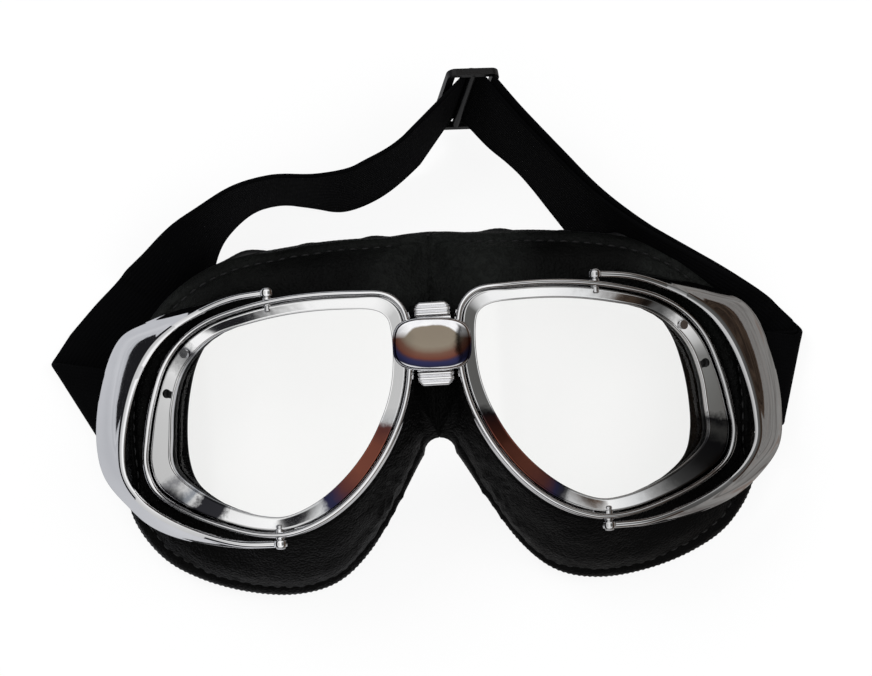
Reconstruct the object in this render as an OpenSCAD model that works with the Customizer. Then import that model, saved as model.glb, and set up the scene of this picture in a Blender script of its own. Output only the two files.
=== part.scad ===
// Aviator goggles with two chromed rims, hinged side wings, a padded leather mask and an elastic strap.
// They lie on their back: +Z is the front of the lenses, +Y the forehead, X runs across both eyes.
// Left and right are meant as seen from the front, so the left eye is at -X.
// The origin lies on the table, under the middle of the whole object.

/* [Wrap] */
// Radius of the cylinder that both eyes are wrapped round
wrap_r = 140; // [125:1:170]
// Height of the rim fronts at the nose above the table
front_h = 42; // [40:0.5:46]

/* [Rims] */
// Scale of the eye outline across X and Y
eye_scale = 1; // [0.97:0.01:1.02]
// Width of the rounded bead round each rim
bead_w = 2.4; // [2:0.1:2.8]
// Depth of the rim from its crown to its rear face
rim_depth = 7.2; // [6.8:0.1:8]
// Thickness of the flange at the rear of the rim that carries the lens
flange_t = 1.2; // [1:0.1:1.4]
// Dark gap left between the bead and the lens ring
ring_gap = 0.35; // [0.25:0.05:0.5]

/* [Lenses] */
// Thickness of the clear lens
lens_t = 1.3; // [1:0.1:1.5]
// Thickness of the rubber gasket under the lens
seal_t = 0.6; // [0.4:0.1:0.8]
// Clearance between the parts that are stacked in the rim
stack_gap = 0.1; // [0.05:0.05:0.15]

/* [Wings] */
// Distance of each wing hinge from the middle of the bridge
hinge_x = 44; // [43:0.5:45]
// How far the wing hinge stands behind the front of the rims
hinge_drop = 9; // [8.6:0.1:9.4]
// Thickness of the pressed wing
wing_t = 1.6; // [1.3:0.1:1.8]
// Diameter of the hinge pins
pin_d = 2; // [1.8:0.1:2.2]
// Running clearance round the hinge pins
pin_gap = 0.06; // [0.04:0.01:0.1]
// Diameter of the bar that carries the strap
bar_d = 2.4; // [2:0.1:2.8]

/* [Bridge] */
// Width of the bridge plate over its bowed sides
plate_w = 21.2; // [20:0.2:22]
// Height of the bridge plate along Y
plate_h = 13.8; // [13:0.2:14.4]
// Thickness of the bridge plate at its middle
plate_t = 3; // [2.6:0.1:3.4]
// Width of the ribbed tabs above and below the plate
tab_w = 9.6; // [8.6:0.2:10]
// Number of ribs on each tab
tab_ribs = 3; // [2:1:3]

/* [Mask] */
// Thickness of the leather wall of the mask
wall_t = 2.6; // [2:0.1:3]
// Outward swell of the padded skirt
skirt_puff = 3; // [1:0.5:4]
// Thickness of the foam face pad
foam_t = 6; // [4:0.5:7]
// Diameter of the rolled edge binding
binding_d = 3; // [2.4:0.2:3.4]

/* [Strap] */
// Width of the elastic strap
strap_w = 25; // [23:0.5:25.5]
// Thickness of one layer of the elastic strap
strap_t = 1.2; // [1:0.1:1.3]
// Gap between two layers of the strap
layer_gap = 0.3; // [0.25:0.05:0.4]
// Length of the slider along the strap
slider_l = 14.4; // [14:0.2:15.6]
// Width of the slider's two end rails
slider_rail = 1.4; // [1.2:0.1:2]

/* [Hidden] */

// The bridge centre sits a little above the middle of the whole object
bridge_y = -4;
rim_steps = 4;
soft_steps = 3;

// The eyes are scaled about this point's height and the hinge's distance
eye_mid_y = -17;
// Outline of the right rim in the XY plane, from the bridge over the top to the temple and back
RIM = [[5.8, 5.5], [7.5, 11], [12, 14.6], [20, 15.5], [30.5, 15.8], [41, 15.2], [51.5, 13.5],
    [61.5, 10.6], [69.5, 5.8], [75.3, -1.2], [79, -10.5], [81.2, -20], [82, -28.5], [79.3, -35.6],
    [71.5, -41.4], [61.3, -46], [51, -49], [41.5, -49.3], [31.5, -45.8], [22.5, -39.3],
    [15, -30.5], [9.6, -20.8], [6.7, -12], [5.6, -3]];
// Inner lip of the lens ring, station by station with the rim outline
LIP = [[11.6, 5], [13, 8.3], [16.5, 10], [22.5, 10.5], [31.5, 10.6], [40.5, 10], [50, 8.5],
    [58.7, 6.4], [65.6, 2.1], [70.7, -4.1], [73.5, -12.3], [74.4, -20.5], [74.7, -27.5],
    [72, -32.2], [65.8, -36.9], [57.5, -41], [49.3, -43.4], [42.3, -43.6], [34, -40.2],
    [26.3, -34.3], [19.8, -26.8], [15, -18.3], [12.3, -10.5], [11.3, -2.5]];
// Eye opening of the mask, which shows inside the lens at the temple
EYE = [[11, 4.5], [12.4, 8.8], [16, 11], [22.3, 11.5], [31.5, 11.6], [40.9, 11.4], [50.3, 10.6],
    [58.6, 8.8], [65, 5.4], [69.6, -0.9], [72.3, -9.2], [73.6, -18], [73.5, -26.8], [71.2, -33.6],
    [65.2, -38.6], [57, -42.6], [49, -44.6], [42.1, -44.4], [33.2, -41.3], [25.4, -35.2],
    [18.9, -27.4], [14.1, -18.6], [11.4, -10.6], [10.6, -2.5]];
// Lower edge of the leather with its height above the table; x = 0 is the centre seam
SKIRT_DRAWN = [[0, 4, 31], [0, 18, 28.5], [0, 30, 21], [13, 30.2, 20.5], [27, 30.1, 19],
    [40, 29, 17.5], [52, 27.3, 17], [62, 24.2, 15.4], [71.5, 18.2, 13.4], [79, 9.8, 12.2],
    [84.3, -1, 11.8], [86.3, -14, 11.8], [86.6, -28, 11.6], [86, -42, 5], [79, -53.4, 3],
    [68.8, -60.2, 3], [55.6, -64.7, 3], [42, -66.2, 3], [30.2, -63.4, 3], [20.6, -55, 4],
    [12, -42, 9], [4.5, -29.5, 17], [0, -25, 21], [0, -12, 28.5]];
// The skirt grows with the height of the rims
SKIRT = [for (p = SKIRT_DRAWN) [p[0], p[1], p[2] * front_h / 42]];
SEAM = [0, 1, 23];

// Rear and front edges of the right wing from its top ear to its bottom ear
WING_REAR = [[43.3, 16.4, 31.7], [54, 15.9, 28], [67, 13.4, 20.5], [77.5, 10.7, 15.5],
    [85.5, 7.4, 12.8], [90.4, -0.5, 11.3], [93.2, -12, 11], [94, -22.5, 11], [92.8, -32, 11],
    [87.2, -39.3, 12], [79.6, -45, 14.5], [69, -48.8, 19], [55, -51, 27.4], [43.3, -51.1, 31.7]];
WING_FRONT = [[43.3, 16.4, 34.4], [54, 15, 31.3], [63.5, 11.6, 27.2], [70.2, 7.9, 25],
    [76, 2.6, 23], [80.7, -5, 21.8], [84, -14.5, 21], [85.6, -23.5, 20.8], [85.3, -31, 21.2],
    [81.8, -37.2, 22.2], [75.6, -42.2, 24], [66.5, -46.8, 27], [55, -50.3, 31.3],
    [43.3, -51.1, 34.4]];
// Hinge line and bar height that the wing outlines are drawn about
wing_hinge = [44, 33];
wing_bar_z = 5.8;
hinge_z = front_h - hinge_drop;
ear_top = [15.4, 17.4];
ear_bottom = [-50.1, -52.1];
ear_r = 2.3;
// Where the upper and the lower lug meet the drawn wing, as [x, z]
lug_tops = [[88.6, 13], [91.8, 13]];
// How far the pins run into the rims
pin_reach = 4.3;
// Gap between the leather and the overlocked edge under it
edge_gap = 0.4;

// Strap: the wing's bar and loop, the two creases, and the inner edge of the strap between them
bar_x = hinge_x + 44;
bar_z = 5.8;
strap_mid_y = -13.5;
// The loop ends this far beyond the bar, on a cylinder about the hinge
loop_reach = 2.67;
loop_end_r = norm([bar_x - hinge_x, bar_z - hinge_z]) + loop_reach;
CREASE_L = [[-103.8, 0.6], [-94, -24.6]];
CREASE_R = [[101.2, -0.8], [94, -26]];
// Left leg: the edge that it stands on and the edge that leans out, as seen from above
FOOT_L = [[-82, -6.9], [-75.4, 0], [-69, 6.2], [-63.6, 13.5], [-60.8, 23], [-57, 32.6], [-49, 40],
    [-40.5, 42.2], [-32, 41], [-23, 39.4], [-13, 42.6], [-3.8, 49], [3.6, 55.6]];
TOP_L = [[-100.8, 9.6], [-93.3, 17.6], [-86.5, 24.2], [-78.6, 30], [-70, 36.6], [-61.8, 41],
    [-52, 46], [-41.2, 48.3], [-30.3, 47.9], [-21, 49], [-15.8, 51], [-7.4, 55], [-0.2, 60.2]];
// Right leg, the same from the slider to the crease
FOOT_R = [[15.2, 57.2], [26.6, 46.8], [36.6, 33], [43.5, 17.6], [54.6, 5], [68, -4.3], [80.4, -13]];
TOP_R = [[22, 65.6], [34, 52.8], [46.4, 40.2], [58, 31.6], [70.2, 24.2], [82.6, 16.2], [94.9, 7.4]];
LIFT_R = [5, 1.6, 0, 0, 0, 0, 0];
slider_at = [12.1, 67, 15.8];
slider_turn = [65, 13, 0];
layer = strap_t + layer_gap;
foot_z = strap_t / 2;

stack_seal = -rim_depth + flange_t + stack_gap;
stack_lens = stack_seal + seal_t + stack_gap;
stack_ring = stack_lens + lens_t + stack_gap;

function mix(a, b, t) = a + (b - a) * t;
function unit(v) = v / norm(v);
function flat2(p) = [p[0], p[1]];
function clamp(v, lo, hi) = min(max(v, lo), hi);
// Catmull-Rom curve through four points
function spline4(a, b, c, d, t) =
    0.5 * (2 * b + (c - a) * t + (2 * a - 5 * b + 4 * c - d) * t * t
        + (3 * b - a - 3 * c + d) * t * t * t);
function closed_curve(p, n) = [for (i = [0:len(p) - 1], j = [0:n - 1])
    spline4(p[(i + len(p) - 1) % len(p)], p[i], p[(i + 1) % len(p)], p[(i + 2) % len(p)], j / n)];
function open_at(p, i) = i < 0 ? 2 * p[0] - p[1]
    : i >= len(p) ? 2 * p[len(p) - 1] - p[len(p) - 2] : p[i];
function open_curve(p, n) = concat([for (i = [0:len(p) - 2], j = [0:n - 1])
    spline4(open_at(p, i - 1), p[i], p[i + 1], open_at(p, i + 2), j / n)], [p[len(p) - 1]]);

function sized(q) = [mix(hinge_x, q[0], eye_scale), mix(eye_mid_y, q[1], eye_scale)];
function eye_sized(p) = [for (q = p) sized(q)];
// Point on the wrapped front surface, raised by d along its normal
function on_wrap(p, d) =
    let (s = p[0] / wrap_r, c = sqrt(1 - s * s))
    [p[0] + d * s, p[1], front_h - wrap_r * (1 - c) + d * c];

// Solid from closed rings that follow each other in a closed loop
module ring_sweep(rows) {
    n = len(rows);
    m = len(rows[0]);
    polyhedron([for (r = rows, p = r) p],
        [for (i = [0:n - 1], j = [0:m - 1], k = [0, 1])
            let (a = i * m + j, b = i * m + (j + 1) % m, c = ((i + 1) % n) * m + (j + 1) % m,
                d = ((i + 1) % n) * m + j) k == 0 ? [a, b, c] : [a, c, d]]);
}

// Solid from closed rings in a row with a flat cap at each end
// The side named by other is split along its other diagonal, so that two layers lie alike
module row_loft(rows, other = -1) {
    n = len(rows);
    m = len(rows[0]);
    polyhedron([for (r = rows, p = r) p],
        concat([for (i = [0:n - 2], j = [0:m - 1], k = [0, 1])
            let (a = i * m + j, b = i * m + (j + 1) % m, c = a - j + m + (j + 1) % m, d = a + m)
            j == other ? (k == 0 ? [a, d, b] : [b, d, c]) : k == 0 ? [a, c, b] : [a, d, c]],
            [for (j = [1:m - 2]) [0, j, j + 1]],
            [for (j = [1:m - 2]) [(n - 1) * m, (n - 1) * m + j + 1, (n - 1) * m + j]]));
}

// Cross-section swept round the eye: each profile point is [inset from the outline, depth]
// An inset of up to 20 counts from the outline; above that the rest counts from the lip
module eye_sweep(profile, steps) {
    outer = closed_curve(eye_sized(RIM), steps);
    inner = closed_curve(eye_sized(LIP), steps);
    ring_sweep([for (i = [0:len(outer) - 1])
        let (u = unit(inner[i] - outer[i]))
        [for (q = profile)
            on_wrap(q[0] <= 20 ? outer[i] + u * q[0] : inner[i] + u * (q[0] - 40), q[1])]]);
}

module sides(side) {
    translate([0, bridge_y, 0])
        if (side > 0) children();
        else mirror([1, 0, 0]) children();
}

module pin_place(y0, y1) {
    translate([hinge_x, y0, hinge_z]) rotate([y1 > y0 ? -90 : 90, 0, 0]) children();
}

// Rims
module rim(side) {
    color("silver") sides(side) difference() {
        union() {
            eye_sweep([[0, -rim_depth + 0.8], [0.5, -rim_depth], [39.4, -rim_depth],
                [39.4, -rim_depth + flange_t], [bead_w, -rim_depth + flange_t], [bead_w, -1.2],
                [bead_w - 0.25, -0.5], [bead_w - 0.8, -0.05], [0.9, 0], [0.3, -0.45], [0, -1.3]],
                rim_steps);
            // bosses that carry the hinge pins
            pin_place(ear_top[0] - 0.3, ear_top[0] - 2.5)
                cylinder(r = ear_r - 0.4, h = 2.2, $fn = 32);
            pin_place(ear_bottom[0] + 0.3, ear_bottom[0] + 2.5)
                cylinder(r = ear_r - 0.4, h = 2.6, $fn = 32);
            // tongue that the bridge clamps
            translate([2.3, -tongue_h / 2, tongue_z]) cube([5.4, tongue_h, tongue_t]);
        }
        pin_place(ear_top[0] + 0.5, ear_top[0] - 9)
            cylinder(d = pin_d, h = pin_reach + 2.4, $fn = 32);
        pin_place(ear_bottom[0] - 0.5, ear_bottom[0] + 9)
            cylinder(d = pin_d, h = pin_reach + 2.4, $fn = 32);
    }
}
tongue_h = 9;
tongue_t = 3;
tongue_z = front_h - 5.4;

module rim_left() { rim(-1); }
module rim_right() { rim(1); }

// Lenses: a thin shell bent to the wrap
module lens(side) {
    steps = 2;
    outer = closed_curve(eye_sized(RIM), steps);
    inner = closed_curve(eye_sized(LIP), steps);
    mid = sized([43, -16.5]);
    edge = [for (i = [0:len(outer) - 1]) outer[i] + unit(inner[i] - outer[i]) * (bead_w + 0.5)];
    n = len(edge);
    fracs = [1, 0.78, 0.5, 0.22];
    pts = [for (d = [stack_lens, stack_lens + lens_t]) concat(
        [for (f = fracs, p = edge) on_wrap(mix(mid, p, f), d)], [on_wrap(mid, d)])];
    m = len(pts[0]);
    color("white", 0.35) sides(side) polyhedron([for (r = pts, p = r) p], concat(
        [for (s = [0, 1], f = [0:len(fracs) - 2], j = [0:n - 1], k = [0, 1])
            let (a = s * m + f * n + j, b = s * m + f * n + (j + 1) % n, c = b + n, d = a + n)
            s == 0 ? (k == 0 ? [a, c, b] : [a, d, c]) : (k == 0 ? [a, b, c] : [a, c, d])],
        [for (s = [0, 1], j = [0:n - 1])
            let (o = s * m + (len(fracs) - 1) * n, a = o + j, b = o + (j + 1) % n, c = s * m + m - 1)
            s == 0 ? [a, c, b] : [a, b, c]],
        [for (j = [0:n - 1], k = [0, 1])
            let (a = j, b = (j + 1) % n, c = m + (j + 1) % n, d = m + j)
            k == 0 ? [a, b, c] : [a, c, d]]));
}
module lens_left() { lens(-1); }
module lens_right() { lens(1); }

module lens_seal(side) {
    color("dimgray") sides(side) eye_sweep([[bead_w + 0.5, stack_seal], [39.6, stack_seal],
        [39.6, stack_seal + seal_t], [bead_w + 0.5, stack_seal + seal_t]], 2);
}
module lens_seal_left() { lens_seal(-1); }
module lens_seal_right() { lens_seal(1); }

// Slanted ring that holds each lens down, with its vent hole and its screw
screw_at = [68.2, 1.6];
vent_at = [74.2, -9];
module on_eye(p, d) {
    q = sized(p);
    translate(on_wrap(q, d)) rotate([0, asin(q[0] / wrap_r), 0]) children();
}
module lens_ring(side) {
    inset = bead_w + ring_gap;
    color("gainsboro") sides(side) difference() {
        eye_sweep([[inset, stack_ring], [40, stack_ring], [40, -2.9], [39.6, -2.6],
            [inset + 0.5, -0.85], [inset, -1.3]], rim_steps);
        on_eye(vent_at, -5.5) cylinder(r = 1.1, h = 8, $fn = 24);
        on_eye(screw_at, -4.4) cylinder(r = 0.7, h = 8, $fn = 24);
        on_eye(screw_at, -1.5) cylinder(r = 1.35, h = 4, $fn = 24);
        pin_place(ear_top[0] + 0.5, ear_top[0] - 9)
            cylinder(d = pin_d + 0.4, h = pin_reach + 0.7, $fn = 32);
        pin_place(ear_bottom[0] - 0.5, ear_bottom[0] + 9)
            cylinder(d = pin_d + 0.4, h = pin_reach + 0.7, $fn = 32);
    }
}
module lens_ring_left() { lens_ring(-1); }
module lens_ring_right() { lens_ring(1); }

module ring_screw(side) {
    color("lightgray") sides(side) on_eye(screw_at, -3) {
        cylinder(r = 0.65, h = 2.5, $fn = 24);
        translate([0, 0, 1.6]) cylinder(r = 1.25, h = 0.9, $fn = 24);
    }
}
module ring_screw_left() { ring_screw(-1); }
module ring_screw_right() { ring_screw(1); }

// Bridge: the link lies between the rims, the crowned plate covers it
link_t = 1.7;
bridge_screw_y = 3.6;
link_base_z = tongue_z - link_t - 0.3;
plate_z = front_h + 0.35;
module plate_outline() {
    bow = 2;
    r = (plate_h * plate_h / 4 + bow * bow) / (2 * bow);
    intersection() {
        square([plate_w, plate_h], center = true);
        translate([plate_w / 2 - r, 0]) circle(r, $fn = 96);
        translate([r - plate_w / 2, 0]) circle(r, $fn = 96);
    }
}
module bridge_plate() {
    crown_r = 38;
    color("silver") sides(1) difference() {
        intersection() {
            translate([0, 0, plate_z]) linear_extrude(plate_t + 1) plate_outline();
            translate([0, 0, plate_z + plate_t - crown_r]) rotate([90, 0, 0])
                cylinder(r = crown_r, h = plate_h + 2, center = true, $fn = 128);
        }
        for (y = [-bridge_screw_y, bridge_screw_y]) translate([0, y, plate_z - 1])
            cylinder(d = 1.6, h = 2.6, $fn = 24);
    }
}
module bridge_link() {
    tab_y = plate_h / 2 + 0.3;
    tab_l = 4;
    tab_top = front_h - 0.6;
    color("darkgray") sides(1) difference() {
        union() {
            translate([-tab_w / 2, -tab_y - tab_l, link_base_z])
                cube([tab_w, 2 * (tab_y + tab_l), link_t]);
            translate([-1.9, -tongue_h / 2 - 0.3, link_base_z])
                cube([3.8, tongue_h + 0.6, plate_z - link_base_z - 0.1]);
            for (s = [-1, 1]) {
                translate([-tab_w / 2, s > 0 ? tab_y : -tab_y - tab_l, link_base_z])
                    cube([tab_w, tab_l, tab_top - link_base_z]);
                for (i = [0:tab_ribs - 1]) {
                    rib_y = tab_y + 0.65 + i * (tab_l - 1.3) / max(tab_ribs - 1, 1);
                    translate([0, s * rib_y, tab_top]) rotate([0, 90, 0])
                        cylinder(r = 0.5, h = tab_w - 1.2, center = true, $fn = 16);
                }
            }
        }
        for (y = [-bridge_screw_y, bridge_screw_y]) translate([0, y, link_base_z - 1]) {
            cylinder(d = 1.7, h = 20, $fn = 24);
            cylinder(d = 3.4, h = 2.4, $fn = 24);
        }
    }
}
module bridge_screws() {
    color("gray") sides(1) for (s = [-1, 1])
        translate([0, s * bridge_screw_y, link_base_z]) difference() {
            union() {
                cylinder(d = 3.1, h = 1.3, $fn = 24);
                cylinder(d = 1.5, h = plate_z + 1.4 - link_base_z, $fn = 24);
            }
            translate([0, 0, -0.1]) cube([0.5, 2.4, 1.2], center = true);
        }
}

// Wings: a pressed crescent that stands on edge at the temple, with an ear at each end
module ear(y0, y1) {
    pin_place(y0, y1) cylinder(r = ear_r, h = abs(y1 - y0), $fn = 48);
}
function wing_row(a, b, along) =
    let (across = unit(b - a), n = unit(cross(along, across)), h = n * wing_t / 2,
        w = norm(b - a), bow = n * clamp((w - 3) * 0.08, 0, 0.9))
    [a - h, a + across * 0.4 - h * 1.15, mix(a, b, 0.5) - h + bow, b - across * 0.4 - h * 1.15, b - h,
        b + h, b - across * 0.5 + h * 1.1, mix(a, b, 0.5) + h + bow, a + across * 0.5 + h * 1.1, a + h];
// Point of a drawn wing outline, set between the real bar and the real hinge
function wing_at(p) = [p[0] + hinge_x - wing_hinge[0], p[1],
    mix(bar_z, hinge_z, (p[2] - wing_bar_z) / (wing_hinge[1] - wing_bar_z))];
// Lug that holds one end of the strap bar and rises to the wing
lug_t = 1.8;
lug_lean = 20;
module lug(s, top) {
    r = bar_d / 2 + 1.1;
    reach = [r * cos(lug_lean), -r * sin(lug_lean)];
    outer = wing_at([top[0] + 0.7, 0, top[1] - 0.6]);
    inner = wing_at([top[0] - 1, 0, top[1]]);
    translate([0, strap_mid_y + s * (strap_w / 2 + 1.4) + lug_t / 2, 0]) rotate([90, 0, 0]) {
        translate([bar_x, bar_z]) cylinder(r = r, h = lug_t, $fn = 48);
        linear_extrude(lug_t) polygon([[bar_x, bar_z] - reach, [bar_x, bar_z] + reach,
            [outer[0], outer[2]], [inner[0], inner[2]]]);
    }
}
module wing(side) {
    rear = [for (p = open_curve(WING_REAR, 3)) wing_at(p)];
    front = [for (p = open_curve(WING_FRONT, 3)) wing_at(p)];
    n = len(rear);
    rows = [for (i = [0:n - 1])
        let (j = min(i + 1, n - 1), k = max(i - 1, 0))
        wing_row(rear[i], front[i], unit(rear[j] + front[j] - rear[k] - front[k]))];
    color("silver") sides(side) difference() {
        union() {
            row_loft(rows);
            ear(ear_top[0], ear_top[1]);
            ear(ear_bottom[0], ear_bottom[1]);
            lug(1, lug_tops[0]);
            lug(-1, lug_tops[1]);
        }
        pin_place(ear_top[0] - 1, ear_top[1] + 3)
            cylinder(d = pin_d + 2 * pin_gap, h = 6, $fn = 32);
        pin_place(ear_bottom[0] + 1, ear_bottom[1] - 3)
            cylinder(d = pin_d + 2 * pin_gap, h = 6, $fn = 32);
        translate([bar_x, strap_mid_y, bar_z]) rotate([90, 0, 0])
            cylinder(d = bar_d, h = strap_w + 12, center = true, $fn = 32);
    }
}
module wing_left() { wing(-1); }
module wing_right() { wing(1); }

module pivot_pins(side) {
    color("lightgray") sides(side) {
        pin_place(ear_top[1] + 0.2, 40) cylinder(d = pin_d + 1.2, h = 0.9, $fn = 32);
        pin_place(ear_top[1] + 0.5, -40)
            cylinder(d = pin_d, h = ear_top[1] - ear_top[0] + 0.5 + pin_reach, $fn = 32);
        pin_place(ear_bottom[1] - 0.2, -90) cylinder(d = pin_d + 1.2, h = 0.9, $fn = 32);
        pin_place(ear_bottom[1] - 0.5, 0)
            cylinder(d = pin_d, h = ear_bottom[0] - ear_bottom[1] + 0.5 + pin_reach, $fn = 32);
    }
}
module pivot_pins_left() { pivot_pins(-1); }
module pivot_pins_right() { pivot_pins(1); }

module strap_bar(side) {
    color("lightgray") sides(side) translate([bar_x, strap_mid_y, bar_z]) rotate([90, 0, 0])
        cylinder(d = bar_d, h = strap_w + 5, center = true, $fn = 32);
}
module strap_bar_left() { strap_bar(-1); }
module strap_bar_right() { strap_bar(1); }

// Strap loop: runs in to the bar, round it and out again, and ends on a cylinder about the hinge
low_z = bar_z - layer / 2;
high_z = bar_z + layer / 2;
function reach_x(r, z) = hinge_x + sqrt(r * r - (z - hinge_z) * (z - hinge_z));
loop_r = bar_d / 2 + 0.25 + strap_t / 2;
function loop_turn(r) = [for (a = [0:15:180]) [bar_x - r * sin(a), bar_z - r * cos(a)]];
module strap_loop(side) {
    ri = loop_r - strap_t / 2;
    ro = loop_r + strap_t / 2;
    h = strap_t / 2;
    x_top = reach_x(loop_end_r, high_z + h);
    x_top2 = reach_x(loop_end_r, high_z - h);
    color("black") sides(side) translate([0, strap_mid_y + strap_w / 2, 0]) rotate([90, 0, 0])
        linear_extrude(strap_w) polygon(concat(
            [[reach_x(loop_end_r, low_z - h), low_z - h]],
            loop_turn(ro),
            [[x_top, high_z + h], [x_top2, high_z - h]],
            [for (i = [12:-1:0]) loop_turn(ri)[i]],
            [[reach_x(loop_end_r, low_z + h), low_z + h]]));
}
module strap_loop_left() { strap_loop(-1); }
module strap_loop_right() { strap_loop(1); }

// Rise of the left leg's last rows towards the slider, and of the doubled leg's edge over the first
left_rise = 5.2;
return_rise = 1.6;
// One row across a ribbon: outer edge a, inner edge b and the face normal n
function ribbon_row(a, b, n) = let (h = n * strap_t / 2) [a + h, a - h, b - h, b + h];
// Direction along a flat path at one of its points
function path_dir(p, i) = unit(p[min(i + 1, len(p) - 1)] - p[max(i - 1, 0)]);
// Rows of a leg between its foot and its top edge, which are drawn for a strap 25 wide
// Where they are nearer to each other than that, the top edge stands higher
// behind moves a row square to the strap, out moves it along its width
function leg_rows(p, q, lift, behind, out) = [for (i = [0:len(p) - 1])
    let (t = path_dir(p, i),
        d = (q[i] - p[i]) / max(25, norm(q[i] - p[i])),
        across = [d[0], d[1], sqrt(max(0, 1 - d * d))],
        n = unit(cross(across, [t[0], t[1], 0])),
        foot = [p[i][0], p[i][1], foot_z + lift[i]] + n * behind + across * out[i])
    ribbon_row(foot + across * strap_w, foot, n)];
// Half turn of the strap about a crease, from one layer height to the other
function fold_rows(crease, side, z_low, z_high, rising) =
    let (r = (z_high - z_low) / 2, zc = (z_high + z_low) / 2, c = unit(crease[1] - crease[0]))
    [for (k = [0:6])
        let (a = rising ? 180 - k * 30 : k * 30,
            n = [-side * c[1] * sin(a), side * c[0] * sin(a), cos(a)],
            d = n * r + [0, 0, zc])
        ribbon_row([crease[0][0], crease[0][1], 0] + d, [crease[1][0], crease[1][1], 0] + d, n)];
// First or last row of a strap, one layer gap short of the loop that it joins
function end_row(side, z) =
    let (h = strap_t / 2, end_r = loop_end_r + layer_gap,
        y0 = strap_mid_y + strap_w / 2, y1 = strap_mid_y - strap_w / 2,
        xt = side * reach_x(end_r, z + h), xb = side * reach_x(end_r, z - h))
    [[xt, y0, z + h], [xb, y0, z - h], [xb, y1, z - h], [xt, y1, z + h]];

// Directions of the slider: along the strap, across it and square to its frame
function turned(v) =
    let (a = slider_turn[0], b = slider_turn[1],
        w = [v[0], v[1] * cos(a) - v[2] * sin(a), v[1] * sin(a) + v[2] * cos(a)])
    [w[0] * cos(b) + w[2] * sin(b), w[1], w[2] * cos(b) - w[0] * sin(b)];
slider_bar_r = 1.1;
slot_w = strap_w + 1;
slider_w = slot_w + 2 * slider_rail;
bend_r = slider_bar_r + 0.25 + strap_t / 2;
// Rows that carry the strap round the slider's bar and out of its slots
apex_rows = [for (k = [0:7])
    let (a = clamp(k * 20 - 70, -50, 50), on = k == 0 ? -3.2 : k == 7 ? 3.2 : 0,
        n = turned([sin(a), 0, -cos(a)]),
        c = slider_at + n * bend_r + turned([cos(a), 0, sin(a)]) * on,
        half = turned([0, strap_w / 2, 0]))
    ribbon_row(c + half, c - half, n)];
right_p = open_curve(FOOT_R, 3);
right_top = open_curve(TOP_R, 3);
right_lift = open_curve(LIFT_R, 3);
// The doubled leg rises onto the second layer towards its crease
function rise(i) = layer * clamp((i - 4) / 6, 0, 1);
module strap_main() {
    left_p = open_curve(FOOT_L, 3);
    left_top = open_curve(TOP_L, 3);
    n = len(left_p);
    left_lift = [for (i = [0:n - 1]) left_rise * clamp((i - n + 5) / 4, 0, 1)];
    lift = [for (i = [0:len(right_p) - 1]) right_lift[i] + rise(i)];
    color("black") translate([0, bridge_y, 0]) row_loft(concat(
        [end_row(-1, low_z)],
        fold_rows(CREASE_L, -1, foot_z, foot_z + 2 * layer, false),
        leg_rows(left_p, left_top, left_lift, 0, [for (q = left_p) 0]),
        apex_rows,
        leg_rows(right_p, right_top, lift, 0, [for (q = right_p) 0]),
        fold_rows(CREASE_R, 1, foot_z + layer, foot_z + 2 * layer, true),
        [end_row(1, low_z)]), 3);
}
// Second layer of the right leg, from the slider's rail down to the wing; it lies outside the first
module strap_return() {
    last = len(right_p) - 1;
    p = [for (i = [1:last]) right_p[i]];
    q = [for (i = [1:last]) right_top[i]];
    lift = [for (i = [1:last]) right_lift[i] + rise(i)];
    out = [for (i = [1:last]) return_rise * (1 - rise(i) / layer)];
    color([0.1, 0.1, 0.1]) translate([0, bridge_y, 0]) row_loft(concat(
        leg_rows(p, q, lift, layer, out),
        fold_rows(CREASE_R, 1, foot_z, foot_z + 3 * layer, true),
        [end_row(1, high_z)]), 3);
}

// Slider: a moulded frame with two rails and a round bar that the strap bends over
module strap_slider() {
    t = 2;
    r = 2.2;
    color([0.08, 0.08, 0.08]) translate([0, bridge_y, 0]) translate(slider_at) rotate(slider_turn) {
        translate([0, 0, -t / 2]) linear_extrude(t) difference() {
            union() {
                square([slider_l - 2 * r, slider_w], center = true);
                square([slider_l, slider_w - 2 * r], center = true);
                for (x = [-1, 1], y = [-1, 1])
                    translate([x * (slider_l / 2 - r), y * (slider_w / 2 - r)]) circle(r, $fn = 48);
            }
            square([slider_l - 4, slot_w], center = true);
        }
        rotate([90, 0, 0]) cylinder(r = slider_bar_r, h = slot_w + 1, center = true, $fn = 32);
    }
}

// Mask: a leather wall that leaves the rim and swells out and down to its free edge
function is_seam(i) = len([for (s = SEAM) if (s == i) 1]) > 0;
// Edge of the skirt moved inwards by inset and up by drop
function skirt_inner(inset, drop) = [for (i = [0:len(SKIRT) - 1])
    let (m = SKIRT[i], k = len(SKIRT),
        t = unit(flat2(SKIRT[(i + 1) % k]) - flat2(SKIRT[(i + k - 1) % k])),
        u = [t[1], -t[0]])
    is_seam(i) ? [0, m[1], m[2] - inset]
        : m[0] == 0 ? [0, m[1] - inset * sign(m[1]), m[2] + drop]
        : [m[0] + inset * u[0], m[1] + inset * u[1], m[2] + drop]];
function no_cross(p) = [for (q = p) [max(q[0], 0), q[1], max(q[2], 0)]];
function skirt_at(a, b, u, puff) = mix(a, b, u) + [0, 0, puff * sin(180 * u)];
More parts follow.
